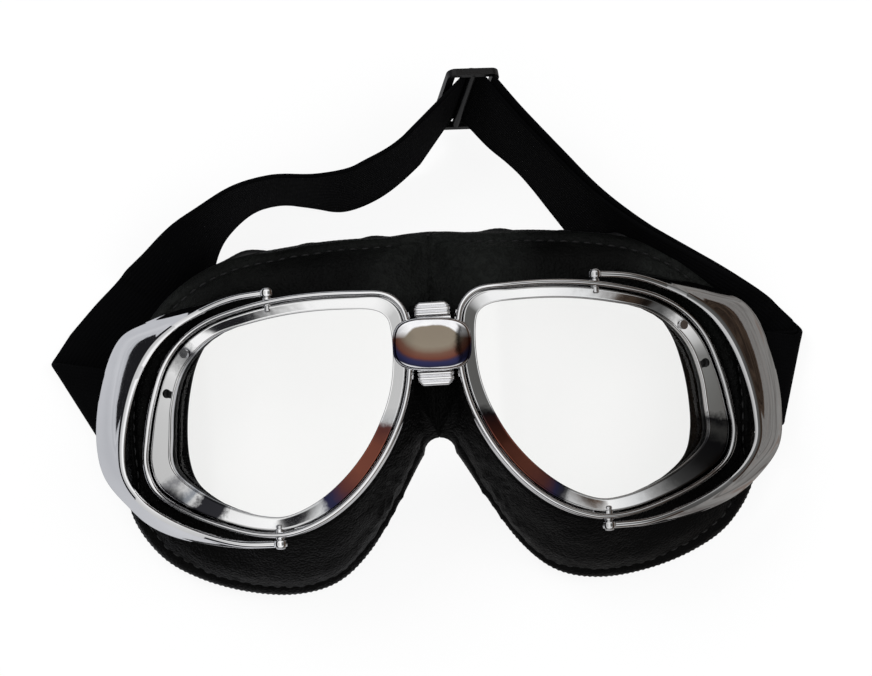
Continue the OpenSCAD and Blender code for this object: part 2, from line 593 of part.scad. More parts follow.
// Share of swell at each station: none along the centre seam
function swell(i, n) = let (k = i / n) min(1, max(0, min((k - 1.5) * 0.8, (21.5 - k) * 0.8)));
module mask(side) {
    n = soft_steps;
    rim_out = closed_curve(eye_sized(RIM), n);
    eye = closed_curve(eye_sized(EYE), n);
    edge = no_cross(closed_curve(SKIRT, n));
    inner = no_cross(closed_curve(skirt_inner(wall_t, 0), n));
    top = -rim_depth - 0.3;
    color([0.13, 0.12, 0.12]) sides(side) ring_sweep([for (i = [0:len(eye) - 1])
        let (a = on_wrap(rim_out[i], top), b = edge[i],
            c = on_wrap(rim_out[i], top - wall_t), d = inner[i], s = swell(i, n) * skirt_puff)
        [on_wrap(eye[i], top - 1.2), on_wrap(mix(eye[i], rim_out[i], 0.18), top), a,
            skirt_at(a, b, 0.3, s), skirt_at(a, b, 0.6, s * 1.2), skirt_at(a, b, 0.85, s * 1.3), b,
            d, skirt_at(c, d, 0.75, s * 0.9), skirt_at(c, d, 0.35, s * 0.7), c,
            on_wrap(mix(eye[i], rim_out[i], 0.1), top - wall_t)]]);
}
module mask_left() { mask(-1); }
module mask_right() { mask(1); }

// Foam pad on the inside of the skirt, where it meets the face
module face_pad(side) {
    n = soft_steps;
    rim_out = closed_curve(eye_sized(RIM), n);
    edge = no_cross(closed_curve(skirt_inner(wall_t + 1.2, -1), n));
    deep = no_cross(closed_curve(skirt_inner(wall_t + 1.2 + foam_t, -1), n));
    top = -rim_depth - wall_t - 0.7;
    color([0.3, 0.3, 0.32]) sides(side) ring_sweep([for (i = [0:len(edge) - 1])
        let (c = on_wrap(rim_out[i], top), d = edge[i], e = deep[i],
            s = swell(i, n) * skirt_puff * 0.5)
        [skirt_at(c, d, 0.35, s), skirt_at(c, d, 0.7, s), d,
            e, skirt_at(c, e, 0.7, -1.5), skirt_at(c, e, 0.35, -2.5)]]);
}
module face_pad_left() { face_pad(-1); }
module face_pad_right() { face_pad(1); }

// Rolled binding along the free edge, from the centre seam round to the nose
module edge_binding(side) {
    n = soft_steps;
    free = [for (i = [2:22]) SKIRT[i]];
    path = open_curve(free, n);
    m = len(path);
    r = binding_d / 2;
    drop = r * sin(60) + edge_gap;
    rows = [for (i = [0:m - 1])
        let (t = path[min(i + 1, m - 1)] - path[max(i - 1, 0)], tt = unit([t[0], t[1], 0]),
            s = i == 0 ? [0, 1, 0] : i == m - 1 ? [0, -1, 0] : [-tt[1], tt[0], 0],
            c = path[i] - s * (r * 0.9) - [0, 0, drop])
        [for (a = [0:60:300]) c + s * (r * cos(a)) + [0, 0, r * sin(a)]]];
    color([0.07, 0.07, 0.07]) sides(side) row_loft(rows);
}
module edge_binding_left() { edge_binding(-1); }
module edge_binding_right() { edge_binding(1); }

rim_left();
rim_right();
lens_left();
lens_right();
lens_seal_left();
lens_seal_right();
lens_ring_left();
lens_ring_right();
ring_screw_left();
ring_screw_right();
bridge_plate();
bridge_link();
bridge_screws();
wing_left();
wing_right();
pivot_pins_left();
pivot_pins_right();
strap_bar_left();
strap_bar_right();
strap_loop_left();
strap_loop_right();
mask_left();
mask_right();
face_pad_left();
face_pad_right();
edge_binding_left();
edge_binding_right();
strap_main();
strap_return();
strap_slider();
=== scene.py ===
import math
import bmesh
import bpy
import numpy as np
from mathutils import Matrix, Vector, noise


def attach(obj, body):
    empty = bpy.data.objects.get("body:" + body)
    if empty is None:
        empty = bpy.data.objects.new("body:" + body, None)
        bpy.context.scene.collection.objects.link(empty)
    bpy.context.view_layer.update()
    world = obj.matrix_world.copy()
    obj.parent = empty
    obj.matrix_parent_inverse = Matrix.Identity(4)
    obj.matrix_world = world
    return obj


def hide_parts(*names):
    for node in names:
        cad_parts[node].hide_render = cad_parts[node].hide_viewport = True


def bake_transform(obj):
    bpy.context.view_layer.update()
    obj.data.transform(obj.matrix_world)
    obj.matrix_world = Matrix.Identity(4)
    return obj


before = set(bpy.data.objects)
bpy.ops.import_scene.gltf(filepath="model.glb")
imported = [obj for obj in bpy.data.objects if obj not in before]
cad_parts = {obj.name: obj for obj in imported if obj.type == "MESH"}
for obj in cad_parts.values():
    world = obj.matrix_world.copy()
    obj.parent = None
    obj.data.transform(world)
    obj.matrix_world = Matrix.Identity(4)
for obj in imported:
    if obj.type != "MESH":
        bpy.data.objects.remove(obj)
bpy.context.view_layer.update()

SCENE = bpy.context.scene
# Shapes are in millimetres, with the bridge as origin: OFF leads from there to the shared frame
MM = 0.001
OFF = np.array([0, -4.0, 0])
UP = np.array([0, 0, 1.0])
SIDES = ((1, "right"), (-1, "left"))
# Both rims lie on a cylinder round the face, its top at FRONT_H
WRAP_R, FRONT_H = 140.0, 42.0
HINGE_X, HINGE_Z = 44.0, 33.0
# Along Y at the hinges: the rim's bosses, each pin's start and way, and the wings' ears
BOSSES, PINS, EARS = ((12.8, 15.1), (-49.8, -46.9)), ((11.1, 1), (-45.8, -1)), ((15.4, 17.4), (-50.1, -52.1))
BOSS_R, BAR_R, SLIDER_BAR_R, PLAY = 1.3, 1.2, 1.1, 0.25
EYE_MID = np.array([43, -16.5])
RIM_DEPTH, WALL_T, LENS_INSET = 7.2, 2.6, 2.9
# The bridge plate stands a little left of the middle and crooked
PLATE_MID, PLATE_HALF, PLATE_TURN = (-0.5, -0.15), (10.5, 7.1), -2.5

# Outlines of the part's source
RIM = [[5.8, 5.5], [7.5, 11], [12, 14.6], [20, 15.5], [30.5, 15.8], [41, 15.2], [51.5, 13.5], [61.5, 10.6],
       [69.5, 5.8], [75.3, -1.2], [79, -10.5], [81.2, -20], [82, -28.5], [79.3, -35.6], [71.5, -41.4],
       [61.3, -46], [51, -49], [41.5, -49.3], [31.5, -45.8], [22.5, -39.3], [15, -30.5], [9.6, -20.8],
       [6.7, -12], [5.6, -3]]
LIP = [[11.6, 5], [13, 8.3], [16.5, 10], [22.5, 10.5], [31.5, 10.6], [40.5, 10], [50, 8.5], [58.7, 6.4],
       [65.6, 2.1], [70.7, -4.1], [73.5, -12.3], [74.4, -20.5], [74.7, -27.5], [72, -32.2], [65.8, -36.9],
       [57.5, -41], [49.3, -43.4], [42.3, -43.6], [34, -40.2], [26.3, -34.3], [19.8, -26.8], [15, -18.3],
       [12.3, -10.5], [11.3, -2.5]]
EYE = [[11, 4.5], [12.4, 8.8], [16, 11], [22.3, 11.5], [31.5, 11.6], [40.9, 11.4], [50.3, 10.6], [58.6, 8.8],
       [65, 5.4], [69.6, -0.9], [72.3, -9.2], [73.6, -18], [73.5, -26.8], [71.2, -33.6], [65.2, -38.6],
       [57, -42.6], [49, -44.6], [42.1, -44.4], [33.2, -41.3], [25.4, -35.2], [18.9, -27.4], [14.1, -18.6],
       [11.4, -10.6], [10.6, -2.5]]
SKIRT = np.array([
    [0, 4, 31], [0, 18, 28.5], [0, 30, 21], [13, 30.2, 20.5], [27, 30.1, 19], [40, 29, 17.5], [52, 27.3, 17],
    [62, 24.2, 15.4], [71.5, 18.2, 13.4], [79, 9.8, 12.2], [84.3, -1, 11.8], [86.3, -14, 11.8], [86.6, -28, 11.6],
    [86, -42, 5], [79, -53.4, 3], [68.8, -60.2, 3], [55.6, -64.7, 3], [42, -66.2, 3], [30.2, -63.4, 3],
    [20.6, -55, 4], [12, -42, 9], [4.5, -29.5, 17], [0, -25, 21], [0, -12, 28.5]])
SEAM_ROWS = (0, 1, 23)
WING_REAR = [[43.3, 16.4, 31.7], [54, 15.9, 28], [67, 13.4, 20.5], [77.5, 10.7, 15.5], [85.5, 7.4, 12.8],
             [90.4, -0.5, 11.3], [93.2, -12, 11], [94, -22.5, 11], [92.8, -32, 11], [87.2, -39.3, 12],
             [79.6, -45, 14.5], [69, -48.8, 19], [55, -51, 27.4], [43.3, -51.1, 31.7]]
WING_FRONT = [[43.3, 16.4, 34.4], [54, 15, 31.3], [63.5, 11.6, 27.2], [70.2, 7.9, 25], [76, 2.6, 23],
              [80.7, -5, 21.8], [84, -14.5, 21], [85.6, -23.5, 20.8], [85.3, -31, 21.2], [81.8, -37.2, 22.2],
              [75.6, -42.2, 24], [66.5, -46.8, 27], [55, -50.3, 31.3], [43.3, -51.1, 34.4]]
FOOT_L = [[-82, -6.9], [-75.4, 0], [-69, 6.2], [-63.6, 13.5], [-60.8, 23], [-57, 32.6], [-49, 40],
          [-40.5, 42.2], [-32, 41], [-23, 39.4], [-13, 42.6], [-3.8, 49], [3.6, 55.6]]
TOP_L = [[-101.8, 10], [-93.3, 17.6], [-86.5, 24.2], [-78.6, 30], [-70, 36.6], [-61.8, 41], [-52, 46],
         [-41.2, 48.3], [-30.3, 47.9], [-21, 49], [-15.8, 51], [-7.4, 55], [-0.2, 60.2]]
FOOT_R = [[15.2, 57.2], [26.6, 46.8], [36.6, 33], [46, 20], [58, 9.4], [69.6, -2.2], [80.4, -13], [87, -19.5]]
TOP_R = [[22, 65.6], [33.4, 52.4], [45.4, 39.4], [56.8, 30.4], [68.8, 22.8], [81.4, 15.6], [94.2, 7.5], [100, 2.1]]
LIFT_R = [5, 1.6, 0, 0, 0, 0, 0, 0]
CREASE_L, CREASE_R = [[-105, 2.4], [-91, -22.6]], [[99.8, -0.5], [93, -26.2]]
BAR_X, BAR_Z, STRAP_MID_Y, LOOP_END_R = 88.0, 5.8, -13.5, 54.4
STRAP_W, STRAP_T, LAYER_GAP = 25.0, 1.2, 0.3
LAYER = STRAP_T + LAYER_GAP
FOOT_Z = STRAP_T / 2
LOW_Z, HIGH_Z = BAR_Z - LAYER / 2, BAR_Z + LAYER / 2
SLIDER_AT = np.array([12.1, 67, 15.8])
SLIDER_TURN = (65, 13)


# Curves and small vector helpers
def catmull(a, b, c, d, t):
    return 0.5 * (2 * b + (c - a) * t + (2 * a - 5 * b + 4 * c - d) * t * t
                  + (3 * b - a - 3 * c + d) * t * t * t)


def closed(p, n):
    p = np.array(p, float)
    m = len(p)
    return np.array([catmull(p[i - 1], p[i], p[(i + 1) % m], p[(i + 2) % m], j / n)
                     for i in range(m) for j in range(n)])


def opened(p, n):
    p = np.array(p, float)
    if p.ndim == 1:
        return opened(p[:, None], n)[:, 0]
    q = np.vstack([2 * p[0] - p[1], p, 2 * p[-1] - p[-2]])
    out = [catmull(q[i], q[i + 1], q[i + 2], q[i + 3], j / n) for i in range(len(p) - 1) for j in range(n)]
    return np.array(out + [p[-1]])


def unit(v):
    v = np.asarray(v, float)
    return v / np.maximum(np.linalg.norm(v, axis=-1, keepdims=True), 1e-9)


def on_wrap(xy, d):
    # The points xy on the cylinder of the rims, d in front of it
    xy = np.asarray(xy, float)
    s = xy[..., 0] / WRAP_R
    c = np.sqrt(np.maximum(0, 1 - s * s))
    return np.stack([xy[..., 0] + d * s, xy[..., 1], FRONT_H - WRAP_R * (1 - c) + d * c], -1)


def wrap_normal(x):
    return unit([x / WRAP_R, 0, math.sqrt(1 - (x / WRAP_R) ** 2)])


def smooth(a, b, x):
    t = np.clip((x - a) / (b - a), 0, 1)
    return t * t * (3 - 2 * t)


def cos_sin(deg):
    return math.cos(math.radians(deg)), math.sin(math.radians(deg))


def hump(x, mid, width):
    return np.exp(-((x - mid) / width) ** 2)


def lengths(p):
    return np.concatenate([[0], np.cumsum(np.linalg.norm(np.diff(p, axis=0), axis=1))])


def sample(at, s, p):
    # The polyline p, whose points lie at the lengths s, at the lengths given
    return np.stack([np.interp(at, s, p[:, k]) for k in range(3)], -1)


# Mesh building
def new_object(name, data):
    o = bpy.data.objects.new(name, data)
    SCENE.collection.objects.link(o)
    return o


def mesh_object(name, verts, faces, uv=None, side=1):
    # Shapes are drawn for the right side; side -1 mirrors them
    v = np.array(verts, float) + OFF
    if side < 0:
        v = v * [-1, 1, 1]
        faces = [f[::-1] for f in faces]
    me = bpy.data.meshes.new(name)
    me.from_pydata((v * MM).tolist(), [], faces)
    if uv is not None:
        layer = me.uv_layers.new(name="UVMap")
        for k, place in enumerate(u for f in uv for u in f):
            layer.data[k].uv = place
    me.validate()
    me.update()
    me.polygons.foreach_set("use_smooth", [True] * len(me.polygons))
    return new_object(name, me)


def grid_faces(n, m, wrap_n, wrap_m, base=0):
    f = []
    for i in range(n if wrap_n else n - 1):
        for j in range(m if wrap_m else m - 1):
            i2, j2 = (i + 1) % n, (j + 1) % m
            f.append((base + i * m + j, base + i * m + j2, base + i2 * m + j2, base + i2 * m + j))
    return f


def caps(n, m):
    return [tuple(range(m - 1, -1, -1)), tuple((n - 1) * m + k for k in range(m))]


def tube_faces(n, m):
    # A tube of n rings with m points each, closed at both ends
    return grid_faces(n, m, False, True) + caps(n, m)


class Parts:
    # Collects several closed shapes into one mesh
    def __init__(self):
        self.v, self.f = [], []

    def add(self, verts, faces):
        b = len(self.v)
        self.v += [tuple(p) for p in np.asarray(verts, float)]
        self.f += [tuple(i + b for i in f) for f in faces]

    def tube(self, pts, radii, sides):
        n = len(pts)
        t = unit(np.gradient(pts, axis=0))
        ref = np.array([1.0, 0, 0]) if abs(t[0] @ UP) > 0.9 else UP
        v = []
        for i in range(n):
            a = unit(np.cross(t[i], ref))
            ref = b = np.cross(a, t[i])
            for k in range(sides):
                w = 2 * math.pi * k / sides
                v.append(pts[i] + a * math.cos(w) * radii[i] + b * math.sin(w) * radii[i])
        self.add(v, tube_faces(n, sides))

    def lathe(self, origin, axis, prof, sides=40):
        # prof holds (distance along the axis, radius) from one end to the other
        axis = unit(axis)
        a = unit(np.cross(axis, [0.3, 0.1, 0.9]))
        b = np.cross(axis, a)
        turns = [2 * math.pi * k / sides for k in range(sides)]
        v = [np.asarray(origin) + axis * h + (a * math.cos(w) + b * math.sin(w)) * r
             for h, r in prof for w in turns]
        self.add(v, [q[::-1] for q in tube_faces(len(prof), sides)])

    def prism(self, poly, y0, y1):
        # poly in the XZ plane, extruded along Y
        n = len(poly)
        v = [(p[0], y, p[1]) for y in (y0, y1) for p in poly]
        self.add(v, [(i, (i + 1) % n, n + (i + 1) % n, n + i) for i in range(n)] + caps(2, n))

    def make(self, name, side=1):
        return mesh_object(name, self.v, self.f, side=side)


def edit(o, change):
    bm = bmesh.new()
    bm.from_mesh(o.data)
    change(bm)
    bm.to_mesh(o.data)
    bm.free()


def fix_normals(o):
    edit(o, lambda bm: bmesh.ops.recalc_face_normals(bm, faces=bm.faces))


def by_angle(o, deg):
    # Smooth shading with the edges above deg kept sharp
    def sharpen(bm):
        for e in bm.edges:
            if len(e.link_faces) == 2:
                e.smooth = e.calc_face_angle(0) < math.radians(deg)

    edit(o, sharpen)


def dress(o, mat, body, slot, *nodes):
    o.data.materials.clear()
    o.data.materials.append(mat)
    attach(o, body)
    if nodes:
        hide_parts(*nodes)
    return o


def finish(o, sharp, mat, body, slot, *nodes):
    # Set the normals, keep the edges above the angle sharp, then dress the piece
    fix_normals(o)
    if sharp:
        by_angle(o, sharp)
    return dress(o, mat, body, slot, *nodes)


def carry(node, mat):
    # A solid that stays as it is gets its material
    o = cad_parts[node]
    for s in o.material_slots:
        s.material = mat
    if not o.material_slots:
        o.data.materials.append(mat)


# Short names for the nodes of the materials and of the world
class Nodes:
    def __init__(self, tree):
        self.n, self.l = tree.nodes, tree.links

    def put(self, v, socket):
        # Link an output, or set a value; a tuple is a colour
        if isinstance(v, bpy.types.NodeSocket):
            self.l.new(v, socket)
        else:
            socket.default_value = (*v, 1) if isinstance(v, tuple) else v

    def node(self, kind, out=0, inputs=(), **kw):
        # A new node with its inputs put; returns the output asked for
        x = self.n.new("ShaderNode" + kind)
        for k, v in kw.items():
            setattr(x, k, v)
        for k, v in dict(inputs).items():
            self.put(v, x.inputs[k])
        return x.outputs[out]

    def coords(self, which="Object"):
        return self.node("TexCoord", which)

    def xyz(self, vec):
        x = self.n.new("ShaderNodeSeparateXYZ")
        self.put(vec, x.inputs[0])
        return x.outputs

    def stretched(self, vec, scale):
        return self.node("Mapping", 0, {"Vector": vec, "Scale": scale})

    def noise(self, vec, scale, detail=3.0, rough=0.55, distort=0.0):
        return self.node("TexNoise", "Fac", {"Vector": vec, "Scale": scale, "Detail": detail, "Roughness": rough,
                                             "Distortion": distort})

    def voronoi(self, vec, scale, feature="F1"):
        return self.node("TexVoronoi", "Distance", {"Vector": vec, "Scale": scale}, feature=feature)

    def wave(self, vec, scale, direction, distort=0.0):
        return self.node("TexWave", "Fac", {"Vector": vec, "Scale": scale, "Distortion": distort},
                         bands_direction=direction, wave_profile="SIN")

    def ramp(self, fac, stops):
        # Stops of (place, colour or grey)
        x = self.n.new("ShaderNodeValToRGB")
        e = x.color_ramp.elements
        while len(e) < len(stops):
            e.new(0.5)
        for i, (pos, tone) in enumerate(stops):
            e[i].position = pos
            e[i].color = (tone, tone, tone, 1) if isinstance(tone, float) else (*tone, 1)
        self.put(fac, x.inputs["Fac"])
        return x.outputs["Color"]

    def span(self, fac, lo, hi, a=0.0, b=1.0):
        # What runs from a to b comes out from lo to hi
        ends = {"From Min": a, "From Max": b, "To Min": lo, "To Max": hi}
        return self.node("MapRange", "Result", {"Value": fac, **ends})

    def step(self, fac, a, b):
        return self.span(fac, 0.0, 1.0, a, b)

    def math(self, op, *values):
        return self.node("Math", 0, enumerate(values), operation=op)

    def add(self, a, b):
        return self.math("ADD", a, b)

    def times(self, a, b):
        return self.math("MULTIPLY", a, b)

    def mix(self, fac, a, b):
        return self.node("Mix", 2, {0: fac, 6: a, 7: b}, data_type="RGBA")

    def mix_shader(self, fac, a, b):
        return self.node("MixShader", 0, enumerate((fac, a, b)))

    def bump(self, height, strength, distance, below=None):
        inputs = {"Height": height, "Strength": strength, "Distance": distance}
        return self.node("Bump", 0, {**inputs, "Normal": below} if below else inputs)


class Mat(Nodes):
    def __init__(self, name):
        self.m = bpy.data.materials.new(name)
        self.m.use_nodes = True
        super().__init__(self.m.node_tree)
        self.p = self.n["Principled BSDF"]
        self.surface = self.n["Material Output"].inputs["Surface"]
        self.c = self.coords()

    def look(self, tone, rough=None, normal=None, **values):
        for name, source in (("Base Color", tone), ("Roughness", rough), ("Normal", normal)):
            if source is not None:
                self.put(source, self.p.inputs[name])
        for k, v in values.items():
            self.p.inputs[k.replace("_", " ")].default_value = v
        return self.m

    def two_tone(self, source, dark, light, a=0.3, b=0.7):
        return self.ramp(source, [(a, dark), (b, light)])


def chrome(name, base, rough=(0.035, 0.09), right_reflection_dim=1.0):
    # Faintly dirty, and darker towards +X by the given factor: a painted darker reflection on the right side
    m = Mat(name)
    big, fine = m.noise(m.c, 60), m.noise(m.c, 1400, 2, 0.7)
    bright, dim = (m.two_tone(big, [b * share * 0.925 for b in base], [b * share for b in base])
                   for share in (1.0, right_reflection_dim))
    return m.look(m.mix(m.step(m.xyz(m.c)["X"], 0.012, 0.066), bright, dim),
                  m.span(m.times(big, fine), rough[0], rough[1], 0.1, 0.5),
                  m.bump(m.noise(m.c, 180, 2), 0.05, 0.0004), Metallic=1.0)


def ring_chrome(name, side, stops):
    # Chrome of a lens ring with painted reflections: its colour follows the angle round the lens, 0 at the temple
    # and 90 at the top
    m = Mat(name)
    place = m.xyz(m.c)
    x = m.add(m.times(place["X"], side), -EYE_MID[0] * MM)
    y = m.add(place["Y"], -(EYE_MID[1] + OFF[1]) * MM)
    ragged = m.times(m.math("SUBTRACT", m.noise(m.c, 420, 3, 0.7), 0.5), 0.02)
    turn = m.add(m.add(m.math("DIVIDE", m.math("ARCTAN2", y, x), 2 * math.pi), 0.5), ragged)
    return m.look(m.ramp(turn, [((deg + 180) / 360, tone) for deg, tone in stops]),
                  m.span(m.noise(m.c, 1400, 2, 0.7), 0.04, 0.1),
                  m.bump(m.noise(m.c, 180, 2), 0.05, 0.0004), Metallic=1.0)


def plate_painted_reflection():
    # Painted reflections: a pale highlight on the bevel at the top, olive in the middle, russet towards the edge
    # and blue at the foot
    m = Mat("chrome_plate_painted_reflection")
    place = m.xyz(m.c)
    wobble = m.noise(m.c, 160, 3, 0.6)
    loose = m.times(m.math("SUBTRACT", wobble, 0.5), 0.22)
    across = m.math("DIVIDE", m.add(place["X"], -PLATE_MID[0] * MM), PLATE_HALF[0] * MM)
    tilted = m.add(place["Y"], m.times(place["X"], 0.044))
    up = m.math("DIVIDE", m.add(tilted, -(PLATE_MID[1] + OFF[1]) * MM), PLATE_HALF[1] * MM)
    edge = m.add(*(m.math("POWER", m.math("ABSOLUTE", v), 2.6) for v in (across, up)))
    where = m.add(m.math("SUBTRACT", edge, m.times(up, 0.9)), loose)
    # the bands of painted reflection, from the middle out to the edge
    body = m.ramp(m.step(where, -0.5, 1.75), [
        (0.0, (0.24, 0.2, 0.155)), (0.27, (0.26, 0.22, 0.17)), (0.34, (0.22, 0.165, 0.125)),
        (0.42, (0.17, 0.085, 0.06)), (0.56, (0.15, 0.052, 0.036)), (0.63, (0.06, 0.035, 0.06)),
        (0.69, (0.03, 0.03, 0.085)), (0.8, (0.025, 0.026, 0.07)), (0.88, (0.015, 0.016, 0.04)),
        (0.92, (0.7, 0.7, 0.73)), (1.0, (0.9, 0.9, 0.92))])
    # the painted highlight along the upper bevel
    bevel_highlight = m.times(m.step(m.add(edge, loose), 0.34, 0.42), m.step(up, 0.2, 0.45))
    pale = m.two_tone(wobble, (0.8, 0.8, 0.84), (0.95, 0.95, 0.96), 0.3, 0.6)
    return m.look(m.mix(bevel_highlight, body, pale), m.span(wobble, 0.06, 0.16),
                  m.bump(m.noise(m.c, 260, 2), 0.08, 0.0004), Metallic=1.0)


def leather(base=0.0013, grain=0.00062):
    m = Mat("leather_black")
    cells = m.voronoi(m.c, 1 / grain, "SMOOTH_F1")
    folds = m.noise(m.c, 420, 4, 0.62, 0.5)
    big = m.noise(m.c, 38, 4, 0.6)
    # painted sheen over the forehead, in patches: a lighter base colour towards the top
    painted_sheen = m.times(m.step(m.xyz(m.c)["Y"], -0.03, 0.012), m.span(m.noise(m.c, 26, 1, 0.5), 0.1, 1.0, 0.36, 0.62))
    painted_sheen = m.times(painted_sheen, m.span(folds, 0.6, 1.0, 0.4, 0.6))
    painted_sheen = m.times(painted_sheen, m.span(cells, 1.1, 0.5))
    plain = m.two_tone(big, base, base * 2.2, 0.3, 0.75)
    height = m.add(m.times(cells, -0.55), m.times(folds, 0.8))
    creased = m.bump(height, 1.0, 0.0007, m.bump(big, 0.3, 0.002))
    # the lighter colour is the painted sheen, mixed in over the plain leather
    return m.look(m.mix(painted_sheen, plain, (0.0098, 0.0108, 0.01)),
                  m.span(m.times(big, folds), 0.34, 0.56, 0.12, 0.42),
                  m.bump(m.noise(m.c, 3200, 2), 0.12, 0.0001, creased), Specular_IOR_Level=0.045)


def webbing():
    m = Mat("elastic_webbing")
    uv = m.coords("UV")
    ribs, weft = m.wave(uv, 0.3, "Y"), m.wave(uv, 0.62, "X", 0.6)
    fuzz = m.noise(m.c, 2600, 3, 0.7)
    height = m.add(m.times(ribs, 0.7), m.times(weft, 0.45))
    return m.look(m.two_tone(m.noise(m.c, 45), (0.0008, 0.0008, 0.001), (0.0018, 0.0018, 0.0021)),
                  m.span(fuzz, 0.72, 0.95), m.bump(fuzz, 0.35, 0.00012, m.bump(height, 0.6, 0.00025)),
                  Sheen_Weight=0.012, Sheen_Roughness=0.4, Sheen_Tint=(0.35, 0.35, 0.38, 1),
                  Specular_IOR_Level=0.045)


def lining():
    m = Mat("lining_fabric")
    loops = m.voronoi(m.c, 1500)
    return m.look(m.two_tone(m.noise(m.c, 60), (0.01, 0.01, 0.011), (0.022, 0.022, 0.024)),
                  m.span(loops, 0.8, 0.98), m.bump(loops, 0.5, 0.0003),
                  Sheen_Weight=0.4, Sheen_Roughness=0.5, Sheen_Tint=(0.5, 0.5, 0.55, 1))


def thread():
    m = Mat("thread_black")
    twist = m.noise(m.c, 3200, 2, 0.6, 0.8)
    return m.look(m.two_tone(twist, (0.002, 0.002, 0.0022), (0.007, 0.007, 0.0075)),
                  m.span(twist, 0.45, 0.7), m.bump(twist, 0.5, 0.00012))


def plastic(base=(0.0012, 0.0012, 0.0014)):
    m = Mat("plastic_black")
    big = m.noise(m.c, 70)
    return m.look(m.two_tone(big, base, [b * 1.6 for b in base]), m.span(big, 0.28, 0.42),
                  m.bump(m.noise(m.c, 1800, 3, 0.6), 0.2, 0.0001))


def rubber():
    m = Mat("rubber_black")
    fine = m.noise(m.c, 1500, 3, 0.6)
    return m.look(m.two_tone(fine, 0.012, 0.02), m.span(fine, 0.6, 0.8),
                  m.bump(fine, 0.2, 0.0001))


def clear_lens():
    m = Mat("lens_clear")
    m.n.remove(m.p)
    smudge = m.noise(m.c, 34)
    through = m.two_tone(smudge, (0.992, 0.993, 0.988), (1.0, 1.0, 0.996), 0.25, 0.8)
    gloss = m.node("BsdfGlossy", 0, {"Color": (1, 1, 1), "Roughness": m.span(smudge, 0.01, 0.05)})
    m.put(m.mix_shader(m.node("Fresnel", 0, {"IOR": 1.3}), m.node("BsdfTransparent", 0, {"Color": through}), gloss),
          m.surface)
    return m.m


# the polished chrome gets a painted darker reflection on the right side, at 0.55 of its tone
CHROME = chrome("chrome_polished", (0.94, 0.94, 0.95), right_reflection_dim=0.55)
PLATE_PAINTED_REFLECTION = plate_painted_reflection()
# BRIGHT to NAVY are the colours of the reflection bands painted on the lens rings
BRIGHT, MILKY, GLOOM = 0.92, (0.75, 0.76, 0.77), (0.03, 0.03, 0.035)
RUSSET, EMBER, NAVY = (0.23, 0.075, 0.05), (0.13, 0.045, 0.04), (0.03, 0.03, 0.075)
RING_LEFT_PAINTED_REFLECTION = ring_chrome("ring_chrome_left_painted_reflection", -1, [
    (-180, BRIGHT), (-174, MILKY), (-170, EMBER), (-160, RUSSET), (-142, RUSSET), (-130, EMBER), (-121, NAVY),
    (-116, NAVY), (-112, MILKY), (-95, BRIGHT), (-60, BRIGHT), (-57, GLOOM), (-45, GLOOM), (-42, BRIGHT),
    (-39, (0.3, 0.33, 0.38)), (-34, BRIGHT), (-29, (0.34, 0.34, 0.36)), (-26, BRIGHT), (24, BRIGHT), (31, 0.4),
    (38, (0.12, 0.12, 0.13)), (42, BRIGHT), (130, BRIGHT), (180, BRIGHT)])
RING_RIGHT_PAINTED_REFLECTION = ring_chrome("ring_chrome_right_painted_reflection", 1, [
    (-180, MILKY), (-175, GLOOM), (-169, EMBER), (-160, RUSSET), (-140, RUSSET), (-126, EMBER), (-118, NAVY),
    (-113, GLOOM), (-109, MILKY), (-88, BRIGHT), (-72, MILKY), (-62, 0.35), (-50, 0.08), (-24, GLOOM), (-18, 0.2),
    (-14, GLOOM), (-10, BRIGHT), (38, BRIGHT), (44, 0.3), (50, 0.07), (58, 0.1), (66, 0.45), (92, MILKY),
    (120, BRIGHT), (180, MILKY)])
STEEL = chrome("steel_satin", (0.68, 0.68, 0.69), (0.16, 0.3))
LEATHER, WEB, LINING, THREAD = leather(), webbing(), lining(), thread()
PLASTIC, RUBBER_AND_VENT_SHADE, LENS = plastic(), rubber(), clear_lens()


# Sections swept round the eye. A row is (distance in from the rim's outline, depth). From LIP_AT / 2 up
# the distance counts from LIP_AT at the lip. A slope row gives its share of the way down the ring instead.
LIP_AT, SLOPE_OUT, SLOPE_IN, EYE_STEPS = 40, 2.6, 0.45, 14


def arc(cx, cy, rx, ry, a0, a1, n):
    turns = [math.radians(a0 + (a1 - a0) * i / n) for i in range(n + 1)]
    return [(cx + rx * math.cos(w), cy + ry * math.sin(w)) for w in turns]


RIM_PROFILE = ([(0.5, -7.2), (38.4, -7.2), (38.4, -6.0), (2.05, -6.0), (1.75, -5.6), (1.75, -1.3)]
               + arc(0.98, -0.9, 0.77, 0.9, 0, 180, 12)
               + [(0.16, -1.7), (0.06, -2.0), (0.0, -2.5), (0.0, -6.6), (0.2, -7.1)])
RING_PROFILE = ([(2.3, -3.8), (39.9, -3.8), (40.05, -3.0)] + arc(39.8, -2.45, 0.22, 0.3, 0, 120, 6)
                + [(t, -2.15 + 1.05 * (1 - t), "slope") for t in np.linspace(1, 0, 13)]
                + [(2.45, -1.12), (2.25, -1.3), (2.15, -1.7)])
# Turned pieces as (distance along the axis, radius)
PIN_PROFILE = [(0, 0.55), (0.2, 0.9), (0.45, 1.0), (6.15, 1.0), (6.15, 1.3), (6.3, 1.35), (6.5, 1.2), (6.68, 0.8),
               (6.75, 0.3)]
EAR_PROFILE = [(0, 1.5), (0.12, 1.75), (0.5, 1.9), (1.3, 1.9), (1.7, 1.75), (1.82, 1.5)]
LUG_PROFILE = [(0, 2.1), (0.15, 2.3), (1.65, 2.3), (1.8, 2.1)]
VENT_AT, VENT_DEPTH, VENT_R = np.array([74.2, -9.0]), -3.6, 1.15
TONGUE_Z, LINK_T = 36.6, 1.7
LINK_Z = TONGUE_Z - LINK_T - 0.3
TAB_IN, TAB_LENGTH, TAB_HALF, TAB_Z = 7.2, 4.0, 4.8, 40.55


